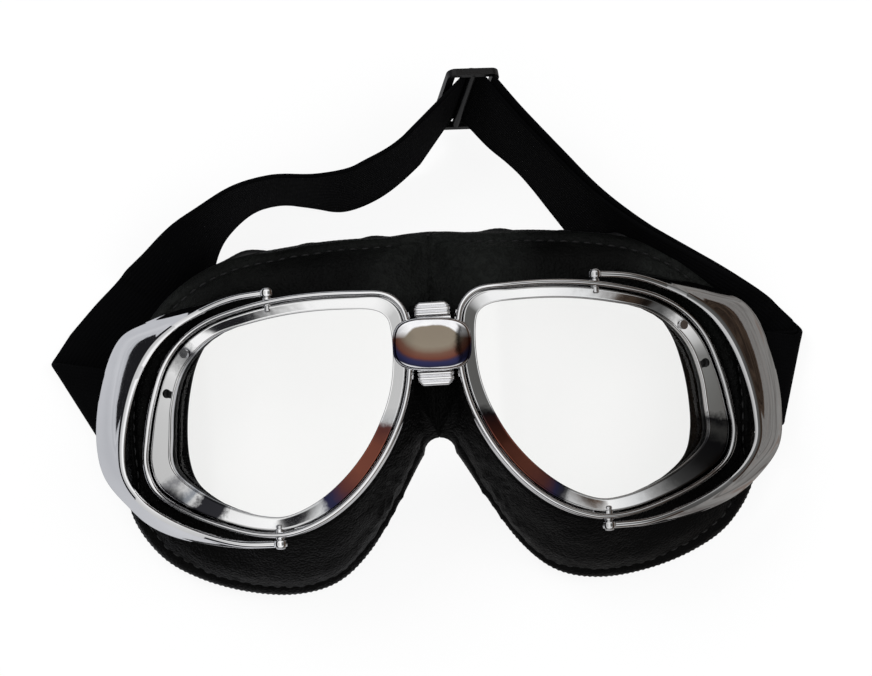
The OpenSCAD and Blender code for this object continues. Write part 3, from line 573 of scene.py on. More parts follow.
def eye_ring(name, profile, side, mat, slot, node):
    outer, inner = closed(RIM, EYE_STEPS), closed(LIP, EYE_STEPS)
    u = unit(inner - outer)
    rings = []
    for a, d, *slope in profile:
        if slope:
            at = (outer + u * SLOPE_OUT) * (1 - a) + (inner - u * SLOPE_IN) * a
        else:
            at = outer + u * a if a <= LIP_AT / 2 else inner + u * (a - LIP_AT)
        rings.append(on_wrap(at, d))
    faces = grid_faces(len(outer), len(profile), True, True)
    o = mesh_object(name, np.stack(rings, 1).reshape(-1, 3), faces, side=side)
    return finish(o, 50, mat, "frame", slot, node)


def cut(o, tool):
    # Cut the shape of tool out of o
    mod = o.modifiers.new("cut", "BOOLEAN")
    mod.operation = "DIFFERENCE"
    mod.solver = "EXACT"
    fix_normals(tool)
    mod.object = tool
    me = bpy.data.meshes.new_from_object(o.evaluated_get(bpy.context.evaluated_depsgraph_get()))
    o.modifiers.clear()
    o.data = me
    bpy.data.objects.remove(tool)


def drill_vent(ring, side):
    # A blind hole with a wider mouth; the black rubber material on its wall is painted shade, so the hole looks
    # deep and dark
    foot, axis = on_wrap(VENT_AT, VENT_DEPTH), wrap_normal(VENT_AT[0])
    p = Parts()
    p.lathe(foot, axis, [(0, VENT_R), (1.75, VENT_R), (2.1, 1.35), (5.5, 1.35)])
    cut(ring, p.make("vent_tool", side))
    # the rubber material here is painted shade for the inside of the hole
    ring.data.materials.append(RUBBER_AND_VENT_SHADE)
    foot, axis = (foot * [side, 1, 1] + OFF) * MM, axis * [side, 1, 1]
    for face in ring.data.polygons:
        d = np.array(face.center) - foot
        h = d @ axis
        if np.linalg.norm(d - h * axis) < (VENT_R + 0.1) * MM and -0.1 * MM < h < 1.85 * MM:
            face.material_index = 1
    by_angle(ring, 50)


def lens_shell(side, tag):
    # A front and a back face of rings that shrink to a hub, and the rim between them
    outer, inner = closed(RIM, 8), closed(LIP, 8)
    edge = outer + unit(inner - outer) * LENS_INSET
    shares = np.linspace(1, 0.08, 14)
    v, f, n = [], [], len(edge)
    for depth in (-5.2, -3.9):
        for s in shares:
            v += list(on_wrap(EYE_MID + (edge - EYE_MID) * s, depth))
        v.append(on_wrap(EYE_MID[None], depth)[0])
    half = len(v) // 2
    for base in (0, half):
        hub = base + len(shares) * n
        g = grid_faces(len(shares), n, False, True, base)
        g += [(hub - n + j, hub - n + (j + 1) % n, hub) for j in range(n)]
        f += g if base else [q[::-1] for q in g]
    f += [(j, (j + 1) % n, half + (j + 1) % n, half + j) for j in range(n)]
    finish(mesh_object("lens_clear_" + tag, v, f, side=side), 40, LENS, "frame", "lens", "lens_" + tag)


def eye_side(side, tag):
    eye_ring("rim_chrome_" + tag, RIM_PROFILE, side, CHROME, "chrome", "rim_" + tag)
    # each lens ring gets the painted reflection bands of its side
    painted_reflection = RING_RIGHT_PAINTED_REFLECTION if side > 0 else RING_LEFT_PAINTED_REFLECTION
    drill_vent(eye_ring("ring_chrome_" + tag, RING_PROFILE, side, painted_reflection, "ring", "lens_ring_" + tag), side)
    lens_shell(side, tag)
    # bosses of the hinge pins and the bridge tongue, which belong to the rim
    p = Parts()
    r = BOSS_R - 0.15
    for y0, y1 in BOSSES:
        high = y1 - y0
        p.lathe([HINGE_X, y0, HINGE_Z], [0, high, 0], [(0, r), (0.15, BOSS_R), (high - 0.15, BOSS_R), (high, r)])
    p.prism([(2.3, TONGUE_Z), (7.7, TONGUE_Z), (7.7, TONGUE_Z + 3), (2.3, TONGUE_Z + 3)], -4.5, 4.5)
    finish(p.make("rim_bosses_" + tag, side), 35, CHROME, "frame", "chrome")
    carry("lens_seal_" + tag, RUBBER_AND_VENT_SHADE)
    carry("ring_screw_" + tag, STEEL)
    p = Parts()
    for y0, way in PINS:
        p.lathe([HINGE_X, y0, HINGE_Z], [0, way, 0], PIN_PROFILE)
    finish(p.make("pivot_pins_domed_" + tag, side), 40, STEEL, "frame", "chrome", "pivot_pins_" + tag)
    carry("strap_bar_" + tag, STEEL)


def bridge_link():
    # Two tabs that end in three thick rolls, a bar behind the rims and a post under the plate
    p = Parts()
    u = np.linspace(0, 1, 60)
    place = (u * 3) % 1.0
    place[-1] = 1.0
    roll = np.sqrt(np.clip(1 - (2 * place - 1) ** 2, 0, 1))
    ends = [(0.8, 1.0), (0.9, 0.88), (0.96, 0.65), (0.99, 0.35), (1.0, 0.0)]
    across = [(-x, k) for x, k in ends[::-1]] + ends
    tip = TAB_IN + TAB_LENGTH
    for s in (1, -1):
        section = list(zip(s * (TAB_IN + TAB_LENGTH * u), TAB_Z + 1.05 * roll))
        section += [(s * tip, LINK_Z), (s * TAB_IN, LINK_Z)]
        v = []
        for x, k in across:
            for y, z in section:
                half = TAB_HALF - 1.1 * smooth(9.6, tip, abs(y))
                v.append((x * half, y, z - 0.8 * (1 - k) if z > 40 else z))
        p.add(v, tube_faces(len(across), len(section)))
    for half, high, reach in ((TAB_HALF, LINK_Z + LINK_T, 9.4), (1.9, FRONT_H + 0.25, 4.8)):
        p.prism([(-half, LINK_Z), (half, LINK_Z), (half, high), (-half, high)], -reach, reach)
    finish(p.make("bridge_link_rolled"), 50, CHROME, "frame", "chrome", "bridge_link")


def bridge_plate():
    # Crowned plate with a rolled edge, drawn as shrinking copies of its outline: (share, height)
    n, power, foot = 160, 2 / 3.1, FRONT_H + 0.35
    th = np.linspace(0, 2 * math.pi, n, endpoint=False)
    ox, oy = (np.sign(w) * np.abs(w) ** power * half for w, half in zip((np.cos(th), np.sin(th)), PLATE_HALF))
    prof = [(0.985, 0.0), (1.0, 0.25), (1.0, 0.9), (0.992, 1.35), (0.972, 1.7), (0.94, 1.98), (0.9, 2.18),
            (0.85, 2.32)]
    prof += [(k, 2.32 + 0.66 * (1 - (k / 0.85) ** 2)) for k in np.linspace(0.8, 0.06, 14)]
    co, si = cos_sin(PLATE_TURN)
    v = []
    for k, z in prof:
        drop = 0.35 * (np.abs(ox) / PLATE_HALF[0] * k) ** 3 * smooth(0.3, 1.6, z)
        x, y = ox * k * co - oy * k * si, ox * k * si + oy * k * co
        v += list(np.stack([x + PLATE_MID[0], y + PLATE_MID[1], foot + z - drop], 1))
    last = len(v) - n
    v.append([*PLATE_MID, foot + 2.98])
    f = grid_faces(len(prof), n, False, True)
    f += [(last + j, last + (j + 1) % n, last + n) for j in range(n)] + [tuple(range(n))]
    finish(mesh_object("bridge_plate_crowned", v, f), 60, PLATE_PAINTED_REFLECTION, "frame", "chrome", "bridge_plate")


for side, tag in SIDES:
    eye_side(side, tag)
bridge_link()
carry("bridge_screws", STEEL)
bridge_plate()
carry("strap_slider", PLASTIC)


# Leather masks. Rows of the skirt run from the rim to the face edge, stations run round the eye.
MASK_STEPS, GROOVE, SEAM_SNAP = 14, 3.7, 0.14
BACK = (0.97, 0.9, 0.75, 0.55, 0.35, 0.15)


def skirt_inner(inset, drop):
    out, k = [], len(SKIRT)
    for i, m in enumerate(SKIRT):
        t = unit(SKIRT[(i + 1) % k][:2] - SKIRT[i - 1][:2])
        if i in SEAM_ROWS:
            out.append([0, m[1], m[2] - inset])
        elif m[0] == 0:
            out.append([0, m[1] - inset * np.sign(m[1]), m[2] + drop])
        else:
            out.append([m[0] + inset * t[1], m[1] - inset * t[0], m[2] + drop])
    return np.array(out)


def no_cross(p, low=0):
    # Nothing crosses the middle plane or goes below the height low
    p = p.copy()
    p[:, 0] = np.maximum(p[:, 0], 0)
    p[:, 2] = np.maximum(p[:, 2], low)
    return p


def nose_arch(p, top=-25.0, wide=4.5, deep=4.5):
    # Rounds the edge over the nose where the two masks meet
    p = p.copy()
    k = (p[:, 0] < wide) & (p[:, 1] < top + 0.05) & (p[:, 1] > top - 8)
    p[k, 1] = top - deep * (1 - np.sqrt(1 - (p[k, 0] / wide) ** 2))
    return p


def swell(n, count):
    # 1 where the leather bulges freely, 0 at the centre seam
    k = np.arange(count) / n
    return np.clip(np.minimum((k - 1.5) * 0.8, (21.5 - k) * 0.8), 0, 1)


def fbm(p, scale, octaves):
    out = np.zeros(len(p))
    for o in range(octaves):
        f = 2 ** o / scale
        out += np.array([noise.noise((q[0] * f + 3.1 * o, q[1] * f, q[2] * f)) for q in p]) / 2 ** o
    return out


def mask_side(side, tag):
    rim_out, eye = closed(RIM, MASK_STEPS), closed(EYE, MASK_STEPS)
    edge = nose_arch(no_cross(closed(SKIRT, MASK_STEPS)))
    inner = no_cross(closed(skirt_inner(WALL_T, 0), MASK_STEPS))
    top = -RIM_DEPTH - 0.3
    count = len(eye)
    sw = swell(MASK_STEPS, count)
    a, c = on_wrap(rim_out, top), on_wrap(rim_out, top - WALL_T)
    span = np.linalg.norm(edge - a, axis=1)
    g = np.minimum(GROOVE, span * 0.45)
    # outward and upward direction of the skirt's face at each station
    along = unit(np.roll(edge, -1, 0) - np.roll(edge, 1, 0))
    face_n = unit(np.cross(along, unit(edge - a)))
    face_n *= np.sign(face_n[:, 2:3] + 1e-6)

    def skin(u):
        # The outer face, u of the way from the rim to the edge
        z = sw * 3.0 * math.sin(math.pi * u) * (1 + 0.35 * u)
        dist = (1 - u) * span
        groove = -0.95 * sw * hump(dist, g, 0.62)
        roll = 0.55 * sw * hump(dist, g * 0.42, 1.1)
        pad = 0.7 * sw * hump(dist, g * 2.4, g * 1.1) * smooth(0.05, 0.3, u)
        seam = (1 - sw) * (0.05 * hump(dist, 1.9, 1.1) - 0.12 * hump(dist, 0.1, 0.5))
        return a * (1 - u) + edge * u + UP * z[:, None] + face_n * (groove + roll + pad + seam)[:, None]

    us = np.concatenate([np.linspace(0, 0.6, 14)[1:], np.linspace(0.6, 0.96, 20)[1:], [0.985]])
    collar = ((0.9, 0.1, top - WALL_T + 0.1), (0.97, 0.03, top - 2.1), (1, 0, top - 1.2), (0.96, 0.04, top - 0.45),
              (0.82, 0.18, top))
    loops = [on_wrap(eye * k + rim_out * r, z) for k, r, z in collar] + [a] + [skin(u) for u in us]
    lead = len(collar) + 1
    rad, over = np.linalg.norm(edge - inner, axis=1) / 2, unit(edge - inner)
    down = np.cross(over, along)
    down *= -np.sign(down[:, 2:3] + 1e-6)
    for w in np.radians([15, 45, 75, 105, 135, 165]):
        loops.append((edge + inner) / 2 + over * (rad * math.cos(w))[:, None]
                     + down * (rad * 0.55 * math.sin(w) * sw)[:, None])
    bulge = [0, 0.7 * math.sin(math.pi * 0.35), 0.9 * math.sin(math.pi * 0.75), 0]
    for u in BACK:
        z = sw * 3.0 * np.interp(u, [0, 0.35, 0.75, 1], bulge)
        loops.append(c * (1 - u) + inner * u + UP * z[:, None])
    loops.append(c)
    m = len(loops)
    pts = no_cross(np.stack(loops, 1).reshape(-1, 3), 0.05)
    # soft unevenness and the creases beside the nose, on the free part of the outer face
    share = np.concatenate([[0] * lead, us, [0] * (m - lead - len(us))])
    free = np.tile(smooth(0.08, 0.3, share) * (1 - smooth(0.93, 0.99, share)), count) * np.repeat(sw, m)
    x, y = pts[:, 0], pts[:, 1]
    push = fbm(pts + [5 * side, 0, 0], 15, 2) * 0.55 + fbm(pts + [0, 9 * side, 4], 5, 2) * 0.16
    nose = np.exp(-(((x - 13) / 10) ** 2 + ((y + 42) / 15) ** 2))
    temple = np.exp(-(((x - 74) / 12) ** 2 + ((y + 46) / 12) ** 2))
    warp = fbm(pts, 11, 2) * 3.4
    crease = -np.abs(np.sin((x * 0.5 - y * 0.36 + warp) * 1.15)) ** 0.6 + 0.6
    ripple = np.sin((x * 0.35 + y * 0.8 + warp) * 0.8)
    push += nose * 0.75 * crease + temple * 0.25 * ripple
    pts += np.repeat(face_n, m, 0) * (push * free)[:, None]
    # the two halves meet closed at the centre seam
    pts[pts[:, 0] < SEAM_SNAP, 0] = 0
    o = mesh_object("mask_leather_" + tag, pts, grid_faces(count, m, True, True), side=side)
    finish(o, None, LEATHER, "frame", "leather", "mask_" + tag)
    # stitches along the groove
    grid = pts.reshape(count, m, 3)[:, lead:lead + len(us)]
    path = np.array([sample(1 - g[i] / max(span[i], 1e-6), us, grid[i]) for i in range(count)])
    line, normal = path[sw > 0.9], face_n[sw > 0.9]
    s = lengths(line)
    lift = 0.22 - 0.5 * np.abs(np.linspace(-1, 1, 7)) ** 3
    p = Parts()
    for at in np.arange(1.5, s[-1] - 1.5, 3.3):
        q = sample(np.linspace(at - 1.15, at + 1.15, 7), s, line)
        p.tube(q + sample(at, s, normal) * lift[:, None], 0.3 * np.array([0.6, 0.9, 1, 1, 1, 0.9, 0.6]), 6)
    dress(p.make("mask_stitches_" + tag, side), THREAD, "frame", "leather")


def face_pad(side, tag):
    # Foam pad behind the skirt, a smooth loop through six key rows
    outer = no_cross(closed(skirt_inner(WALL_T + 1.2, -1), 6))
    inner = no_cross(closed(skirt_inner(WALL_T + 7.2, -1), 6))
    rim = on_wrap(closed(RIM, 6), -RIM_DEPTH - WALL_T - 0.7)
    lift = (swell(6, len(outer)) * 1.5)[:, None]
    near, far = math.sin(math.pi * 0.35), math.sin(math.pi * 0.7)
    key = [rim * 0.65 + outer * 0.35 + UP * lift * near, rim * 0.3 + outer * 0.7 + UP * lift * far, outer, inner,
           rim * 0.3 + inner * 0.7 - UP * 1.5 * far, rim * 0.65 + inner * 0.35 - UP * 2.5 * near]
    v = np.stack([catmull(key[k - 1], key[k], key[(k + 1) % 6], key[(k + 2) % 6], j / 5)
                  for k in range(6) for j in range(5)], 1)
    faces = grid_faces(len(outer), v.shape[1], True, True)
    o = mesh_object("face_pad_foam_" + tag, no_cross(v.reshape(-1, 3), 0.3), faces, side=side)
    finish(o, None, LINING, "frame", "foam", "face_pad_" + tag)


def edge_binding(side, tag):
    # Rolled and overlocked edge, with lumps along the forehead
    path = nose_arch(opened(SKIRT[2:23], MASK_STEPS))
    s = lengths(path)
    at = np.arange(0, s[-1], 0.3)
    path = sample(at, s, path)
    t = np.gradient(path, axis=0)
    t[:, 2] = 0
    t = unit(t)
    out = np.stack([-t[:, 1], t[:, 0], 0 * t[:, 0]], 1)
    out[0], out[-1] = [0, 1, 0], [0, -1, 0]
    r, sides = 1.5, 14
    mid = path - out * (r * 0.9) - [0, 0, r * math.sin(math.radians(60)) + 0.4]
    x, y = path[:, 0], path[:, 1]
    low = (1 - smooth(-20, 5, y)) * smooth(13, 22, x)
    brow = smooth(24, 28, y)
    lump = np.clip(np.sin(at / 4.3 + side) * np.sin(at / 7.9 + 1.3 * side) + 0.1, 0, 1) * brow * smooth(4, 16, x)
    lump = np.maximum(lump, 0.75 * hump(x, 0, 7) * brow)
    v = []
    for k in range(sides):
        w = 2 * math.pi * k / sides
        thread_wave = (0.012 + 0.058 * low) * np.sin(2 * math.pi * at / 1.5 + w * 0.8)
        rr = r * (1.0 + thread_wave + 0.85 * lump * max(0.0, math.cos(w)) ** 0.5)
        v.append(mid + out * (rr * math.cos(w))[:, None] + UP * (rr * math.sin(w))[:, None])
    v = no_cross(np.stack(v, 1).reshape(-1, 3), 0.02)
    o = mesh_object("edge_overlock_" + tag, v, tube_faces(len(path), sides), side=side)
    finish(o, 70, THREAD, "frame", "binding", "edge_binding_" + tag)


for side, tag in SIDES:
    mask_side(side, tag)
    face_pad(side, tag)
    edge_binding(side, tag)


def wing_piece(side, tag):
    rear, front = opened(WING_REAR, 12), opened(WING_FRONT, 12)
    if side < 0:
        # the photo's left wing is slimmer at its lower rear corner
        rear = rear - hump(rear[:, 1:2], -37, 9) * [2.0, 0, 0]
    across = unit(front - rear)
    out = unit(np.cross(unit(np.gradient(rear + front, axis=0)), across))
    w = np.linalg.norm(front - rear, axis=1)
    steep, most = (0.08, 0.9) if side > 0 else (0.055, 0.6)
    bow = -np.clip((w - 3) * steep, 0, most)
    ts, h, section = np.linspace(0, 1, 15), 0.8, []
    for face, order in ((-1, ts), (1, ts[::-1])):
        for t in order:
            from_edge = np.minimum(t, 1 - t) * w
            half = h * np.sqrt(np.clip(1 - (1 - np.minimum(from_edge / h, 1)) ** 2, 0.02, 1))
            lip = 0.12 * hump(from_edge, 0.7, 0.5)
            arch = bow * (1 - (2 * t - 1) ** 2)
            section.append(rear + (front - rear) * t + out * (arch + face * (half + lip))[:, None])
    v = np.stack(section, 1)
    o = mesh_object("wing_plate_" + tag, v.reshape(-1, 3), tube_faces(*v.shape[:2]), side=side)
    finish(o, 50, CHROME, "wing_" + tag, "chrome", "wing_" + tag)
    # ears at the hinge and lugs at the strap bar
    p = Parts()
    for y0, y1 in EARS:
        p.lathe([HINGE_X, y0, HINGE_Z], [0, y1 - y0, 0], EAR_PROFILE, 48)
    dx, dz = (k * 2.3 for k in cos_sin(20))
    for s, top_x, inset in ((1, 88.6, 0), (-1, 91.8, 0 if side > 0 else 1.5)):
        y0 = STRAP_MID_Y + s * 13.9 + 0.9
        p.lathe([BAR_X, y0, BAR_Z], [0, -1, 0], LUG_PROFILE, 48)
        p.prism([(BAR_X - dx, BAR_Z + dz), (BAR_X + dx, BAR_Z - dz), (top_x + 0.7 - inset, 12.4),
                 (top_x - 1 - inset, 13)], y0 - 1.8, y0)
    finish(p.make("wing_ears_" + tag, side), 35, CHROME, "wing_" + tag, "chrome")


for side, tag in SIDES:
    wing_piece(side, tag)


# Straps, as rows of (edge a, edge b, normal of the face)
def ribbon(name, rows, uv0=0.0, step=1.1):
    # Returns the object and its length; the section is rounded at both edges
    p = np.array([np.concatenate(r) for r in rows])
    gap = sum(np.linalg.norm(np.diff(p[:, k:k + 3], axis=0), axis=1) for k in (0, 3))
    gap = np.maximum(gap / 2, 1e-4)
    chord = np.diff(p, axis=0) / gap[:, None]
    before, after = gap[:-1, None], gap[1:, None]
    tangent = np.vstack([chord[:1], (chord[:-1] * after + chord[1:] * before) / (before + after), chord[-1:]])
    last = len(gap) - 1
    start = np.concatenate([[0], np.cumsum(gap)])
    at = []
    for i, g in enumerate(gap):
        k = max(2, int(math.ceil(g / step)))
        at += [(i, j / k) for j in range(k)]
    q, s = [], []
    for i, t in at + [(last, 1.0)]:
        t0 = chord[i] if i and gap[i] > 3 * gap[i - 1] else tangent[i]
        t1 = chord[i] if i < last and gap[i] > 3 * gap[i + 1] else tangent[i + 1]
        q.append(p[i] * (2 * t ** 3 - 3 * t * t + 1) + t0 * (t ** 3 - 2 * t * t + t) * gap[i]
                 + p[i + 1] * (-2 * t ** 3 + 3 * t * t) + t1 * (t ** 3 - t * t) * gap[i])
        s.append(start[i] + t * gap[i])
    q, u = np.array(q), np.array(s) + uv0
    a, b, n = q[:, :3], q[:, 3:6], unit(q[:, 6:])
    inset = np.array([0, 0.15, 0.35, 0.6, 1.0, 1.6, 3, 5, 8, 12.5])
    ts = np.concatenate([inset / STRAP_W, 1 - inset[-2::-1] / STRAP_W])
    section, near = [], []
    for face, order in ((1, ts), (-1, ts[::-1])):
        for t in order:
            d = min(t, 1 - t) * STRAP_W
            half = STRAP_T / 2 * math.sqrt(max(0.0, 1 - (1 - min(d / 0.6, 1)) ** 2)) - (0.05 if d > 1.6 else 0)
            section.append(a + (b - a) * t + n * (face * half))
            near.append(t * STRAP_W + (0 if face > 0 else 30))
    v, far = np.stack(section, 1), near[1:] + near[-1:]
    count, m = v.shape[:2]
    uv = [((u[i], near[j]), (u[i], far[j]), (u[i + 1], far[j]), (u[i + 1], near[j]))
          for i in range(count - 1) for j in range(m)]
    uv += [((u[0], 0),) * m, ((u[-1], 0),) * m]
    o = mesh_object(name, v.reshape(-1, 3), tube_faces(count, m), uv=uv)
    by_angle(o, 60)
    fix_normals(o)
    o.data.materials.append(WEB)
    return o, s[-1]


def rows_leg(foot, top, lift, behind=0.0, outward=0.0):
    # A leg that stands on its lower edge, leaning as the photo's upper edge says
    k, zero = np.arange(len(foot)), np.zeros(len(foot))
    t = unit(foot[np.minimum(k + 1, k[-1])] - foot[np.maximum(k - 1, 0)])
    d = (top - foot) / np.maximum(STRAP_W, np.linalg.norm(top - foot, axis=1))[:, None]
    across = np.column_stack([d, np.sqrt(np.maximum(0, 1 - (d * d).sum(1)))])
    face = unit(np.cross(across, np.column_stack([t, zero])))
    low = np.column_stack([foot, FOOT_Z + lift]) + face * behind + across * (zero + outward)[:, None]
    return list(zip(low + across * STRAP_W, low, face))


def rows_fold(crease, side, z_low, z_high, rising, slant):
    # A half turn round the crease that moves along it by slant radii
    r, mid = (z_high - z_low) / 2, np.array([0, 0, (z_high + z_low) / 2])
    ends = [np.array([*c, 0]) for c in crease]
    c = unit(ends[1] - ends[0])
    rows = []
    for k in range(13):
        co, si = cos_sin(180 - k * 15 if rising else k * 15)
        face = np.array([-side * c[1] * si, side * c[0] * si, co])
        d = face * r + mid + c * ((k / 12 - 0.5) * r * slant * (1 if rising else -1))
        rows.append((ends[0] + d, ends[1] + d, face))
    return rows


def reach_x(r, z):
    # How far out a strap end may go at the height z, r from the hinge line
    return HINGE_X + math.sqrt(r * r - (z - HINGE_Z) ** 2)


def row_flat(side, x, z, face):
    flip = np.array([side, 1, 1])
    return tuple(np.array([x, STRAP_MID_Y + k * STRAP_W / 2, z]) * flip for k in (1, -1)) + (np.array(face) * flip,)


def row_end(side, z):
    return row_flat(side, reach_x(LOOP_END_R + LAYER_GAP, z), z, [0, 0, 1.0])


def turned(v):
    # From the slider's own directions to the table's
    (ca, sa), (cb, sb) = map(cos_sin, SLIDER_TURN)
    w = [v[0], v[1] * ca - v[2] * sa, v[1] * sa + v[2] * ca]
    return np.array([w[0] * cb + w[2] * sb, w[1], w[2] * cb - w[0] * sb])


def return_leg(first):
    # The second layer of the right leg, from its row first on
    outward = 1.6 * (1 - rise[first:] / LAYER)
    return rows_leg(foot_r[first:], top_r[first:], lift_r[first:] + rise[first:], LAYER, outward)


# The bend over the slider's bar, with two straight rows at each end
apex = []
for raw in range(-70, 71, 10):
    deg = min(max(raw, -50), 50)
    co, si = cos_sin(deg)
    face = turned([si, 0, -co])
    mid = SLIDER_AT + face * (SLIDER_BAR_R + PLAY + STRAP_T / 2) + turned([co, 0, si]) * ((raw - deg) * 0.16)
    half = turned([0, STRAP_W / 2, 0])
    apex.append((mid + half, mid - half, face))

foot_l, top_l, foot_r, top_r, lift_r = (opened(t, 3) for t in (FOOT_L, TOP_L, FOOT_R, TOP_R, LIFT_R))
# the right leg rises by one layer towards its crease, the left leg by 5.2 towards the slider
rise = LAYER * np.clip((np.arange(len(foot_r)) - 4) / 6, 0, 1)
leg_l = rows_leg(foot_l, top_l, 5.2 * np.clip((np.arange(len(foot_l)) - len(foot_l) + 5) / 4, 0, 1))
leg_r = rows_leg(foot_r, top_r, lift_r + rise)
first, (a, b, face) = return_leg(0)[0], apex[-1]
tip = [p + face * LAYER + (a - b) / 25 * 1.6 for p in (a, b)] + [face]
tip = [p * 0.8 + q * 0.2 for p, q in zip(tip, first)]
back = [(tip[0], tip[1], unit(tip[2]))] + return_leg(1)
fold_l = rows_fold(CREASE_L, -1, FOOT_Z, FOOT_Z + 2 * LAYER, False, 1.3)
fold_r = rows_fold(CREASE_R, 1, FOOT_Z + LAYER, FOOT_Z + 2 * LAYER, True, 1.8)
fold_back = rows_fold(CREASE_R, 1, FOOT_Z, FOOT_Z + 3 * LAYER, True, 1.8)


def place(p):
    return tuple(((np.asarray(p) + OFF) * MM).tolist())


# Each piece is drawn as a ribbon along its rows; the two bodies, the start and the end listed with it are not used
CUT_L, CUT_R = 20, 10
OUTER_L = ("wing_left", "frame", (-92, -22, 3), (-52, 32, 3))
OUTER_R = ("wing_right", "frame", (92, -22, 3), (62, 8, 3))
INNER_L = ("frame", "slider", (-40, 44, 8), (2, 60, 12))
INNER_R = ("frame", "slider", (54, 12, 8), (24, 54, 12))
run = {"strap_main": 0.0, "strap_return": 7.0}
for name, rows, node, (body_a, body_b, start, end) in (
        ("strap_left_lower", [row_end(-1, LOW_Z)] + fold_l + leg_l[:CUT_L + 1], "strap_main", OUTER_L),
        ("strap_left_upper", leg_l[CUT_L:-2] + apex[:8], "strap_main", INNER_L),
        ("strap_right_upper", apex[7:] + leg_r[1:CUT_R + 1], "strap_main", INNER_R),
        ("strap_right_lower", leg_r[CUT_R:] + fold_r + [row_end(1, LOW_Z)], "strap_main", OUTER_R),
        ("strap_return_upper", back[:CUT_R + 1], "strap_return", INNER_R),
        ("strap_return_lower", back[CUT_R:] + fold_back + [row_end(1, HIGH_Z)], "strap_return", OUTER_R)):
    # keep each row's normal on the side of the row before it
    fixed = [rows[0]]
    for a, b, n in rows[1:]:
        fixed.append((a, b, n if n @ fixed[-1][2] > -0.2 else -n))
    o, length = ribbon(name, fixed, run[node])
    run[node] += length
    place(start)
    place(end)
    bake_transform(o)
    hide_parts(node)

for side, tag in SIDES:
    # the sewn loop round the strap bar
    r = BAR_R + PLAY + STRAP_T / 2
    bend = [(BAR_X - r * si, BAR_Z - r * co, co, si) for co, si in map(cos_sin, range(0, 181, 10))]
    bend.insert(0, (reach_x(LOOP_END_R, LOW_Z), LOW_Z, 1, 0))
    bend.append((reach_x(LOOP_END_R, HIGH_Z), HIGH_Z, -1, 0))
    rows = [row_flat(side, x, z, [-si, 0, -co]) for x, z, co, si in bend]
    web = ribbon("strap_loop_web_" + tag, rows, 400, 0.5)[0]
    dress(web, WEB, "wing_" + tag, "elastic", "strap_loop_" + tag)

# Camera
TARGET, AWAY = np.array([0, -4.0, 45]) * MM, 0.8
ELEVATION, ROLL = 88.5, -3.3
PX_PER_MM, PICTURE_W, SENSOR = 3.789, 872, 36
(co, si), (ca, sa) = cos_sin(ELEVATION), cos_sin(ROLL)
ahead = np.array([0, co, -si])
right = np.array([1.0, 0, 0])
up = np.cross(right, ahead)
right, up = ca * right + sa * up, ca * up - sa * right
cam_data = bpy.data.cameras.new("camera")
cam = new_object("camera", cam_data)
axes = np.stack([right, up, -ahead, TARGET - ahead * AWAY], 1)
cam.matrix_world = Matrix([*axes.tolist(), (0, 0, 0, 1)])
cam_data.sensor_width = SENSOR
cam_data.lens = PX_PER_MM * AWAY / MM / PICTURE_W * SENSOR
cam_data.shift_x, cam_data.shift_y = 2 / PICTURE_W, 5 / PICTURE_W
cam_data.clip_start, cam_data.clip_end = 0.01, 20
SCENE.camera = cam
SCENE.view_settings.view_transform = "Standard"

# Floor: white to the camera, and for mirror rays a table with wood tones on the right
FLOOR_Z = -0.0002
me = bpy.data.meshes.new("floor")
me.from_pydata([(x, y, FLOOR_Z) for x, y in ((-4, -4), (4, -4), (4, 4), (-4, 4))], [], [(0, 1, 2, 3)])
floor = new_object("floor", me)
m = Mat("floor_white")
m.look(m.two_tone(m.noise(m.c, 3, 2), 0.86, 0.88), Roughness=0.9, Specular_IOR_Level=0.0)
direct = m.math("MAXIMUM", *(m.node("LightPath", "Is " + kind + " Ray") for kind in ("Camera", "Transmission")))
plain = m.mix_shader(m.times(direct, 0.88), m.p.outputs[0], m.node("Emission", 0, {"Color": (1, 1, 1)}))
grain = m.noise(m.stretched(m.c, [16, 3, 1]), 6, 4, 0.65, 0.6)
wood = m.ramp(grain, [(0.35, (0.11, 0.09, 0.08)), (0.48, (0.26, 0.25, 0.235)), (0.56, (0.36, 0.35, 0.335)),
                      (0.65, (0.26, 0.2, 0.17))])
spot = m.xyz(m.c)
pale = m.ramp(m.add(m.noise(m.c, 5, 2), m.span(spot["Y"], 0.0, 0.42, 0.05, -0.3)),
              [(0.3, (0.34, 0.35, 0.38)), (0.6, (0.5, 0.51, 0.54)), (1.0, (0.8, 0.8, 0.82))])
seen = m.node("Emission", 0, {"Color": m.mix(m.step(spot["X"], -0.09, 0.09), pale, wood)})
m.put(m.mix_shader(m.times(m.node("LightPath", "Is Glossy Ray"), 0.92), plain, seen), m.surface)
me.materials.append(m.m)

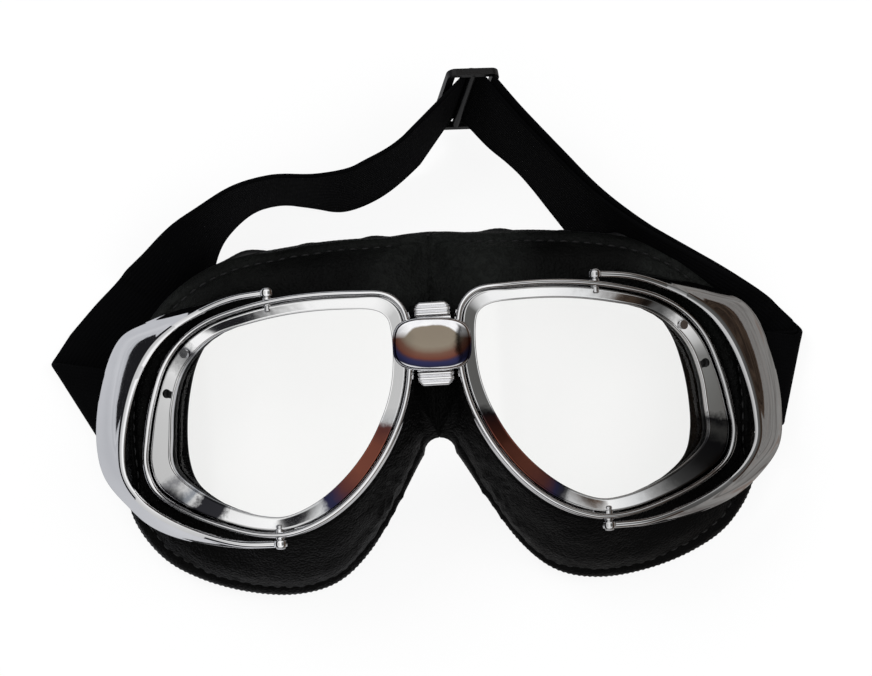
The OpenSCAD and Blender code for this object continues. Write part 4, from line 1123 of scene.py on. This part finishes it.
# World: soft white light, and for mirror rays a room with bands for the chrome to show
world = bpy.data.worlds.new("studio")
SCENE.world = world
world.use_nodes = True
w = Nodes(world.node_tree)
way = w.coords("Generated")
drift = w.math("MULTIPLY_ADD", w.noise(way, 2.6, 2, 0.5), 0.16, -0.08)
dx, dy = w.xyz(way)["X"], w.xyz(way)["Y"]
x_at, y_drift = w.math("MULTIPLY_ADD", w.add(dx, drift), 0.5, 0.5), w.add(dy, drift)
radius = w.add(w.math("SQRT", w.math("MULTIPLY_ADD", dx, dx, w.times(dy, dy))), w.times(drift, 0.4))
room = w.ramp(x_at, [(0.0, 0.5), (0.2, 0.6), (0.32, 0.74), (0.42, 1.0), (0.64, 1.0), (0.655, 0.02), (0.675, 0.02),
                     (0.69, (0.2, 0.2, 0.195)), (0.8, (0.15, 0.15, 0.145)), (1.0, (0.07, 0.065, 0.06))])
room = w.mix(w.step(y_drift, 0.3, 0.6), room, (1, 1, 1))
room = w.mix(w.step(y_drift, -0.25, -0.6), room, (0.97, 0.97, 0.97))
# dark horizon, brown and streaked on the right
streaks = w.noise(w.stretched(way, [6, 1.2, 26]), 2, 4, 0.5)
brown = w.ramp(streaks, [(0.35, (0.012, 0.009, 0.008)), (0.5, (0.06, 0.041, 0.03)), (0.62, (0.12, 0.082, 0.058))])
room = w.mix(w.step(radius, 0.835, 0.86), room, w.mix(w.step(dx, -0.1, 0.1), (0.012, 0.012, 0.014), brown))
lit = w.mix(w.node("LightPath", "Is Glossy Ray"), (0.72, 0.72, 0.73), room)
w.put(lit, w.n["Background"].inputs["Color"])

for name, loc, size, power in (("key", (-0.6, 0.75, 0.95), (0.7, 0.5), 9),
                               ("fill", (0.8, 0.1, 0.8), (0.6, 0.6), 4)):
    d = bpy.data.lights.new(name, "AREA")
    d.shape = "RECTANGLE"
    d.size, d.size_y = size
    d.energy = power
    o = new_object(name, d)
    o.location = loc
    o.visible_glossy = False
    o.rotation_euler = (Vector((0, 0, 0.02)) - Vector(loc)).to_track_quat("-Z", "Y").to_euler()
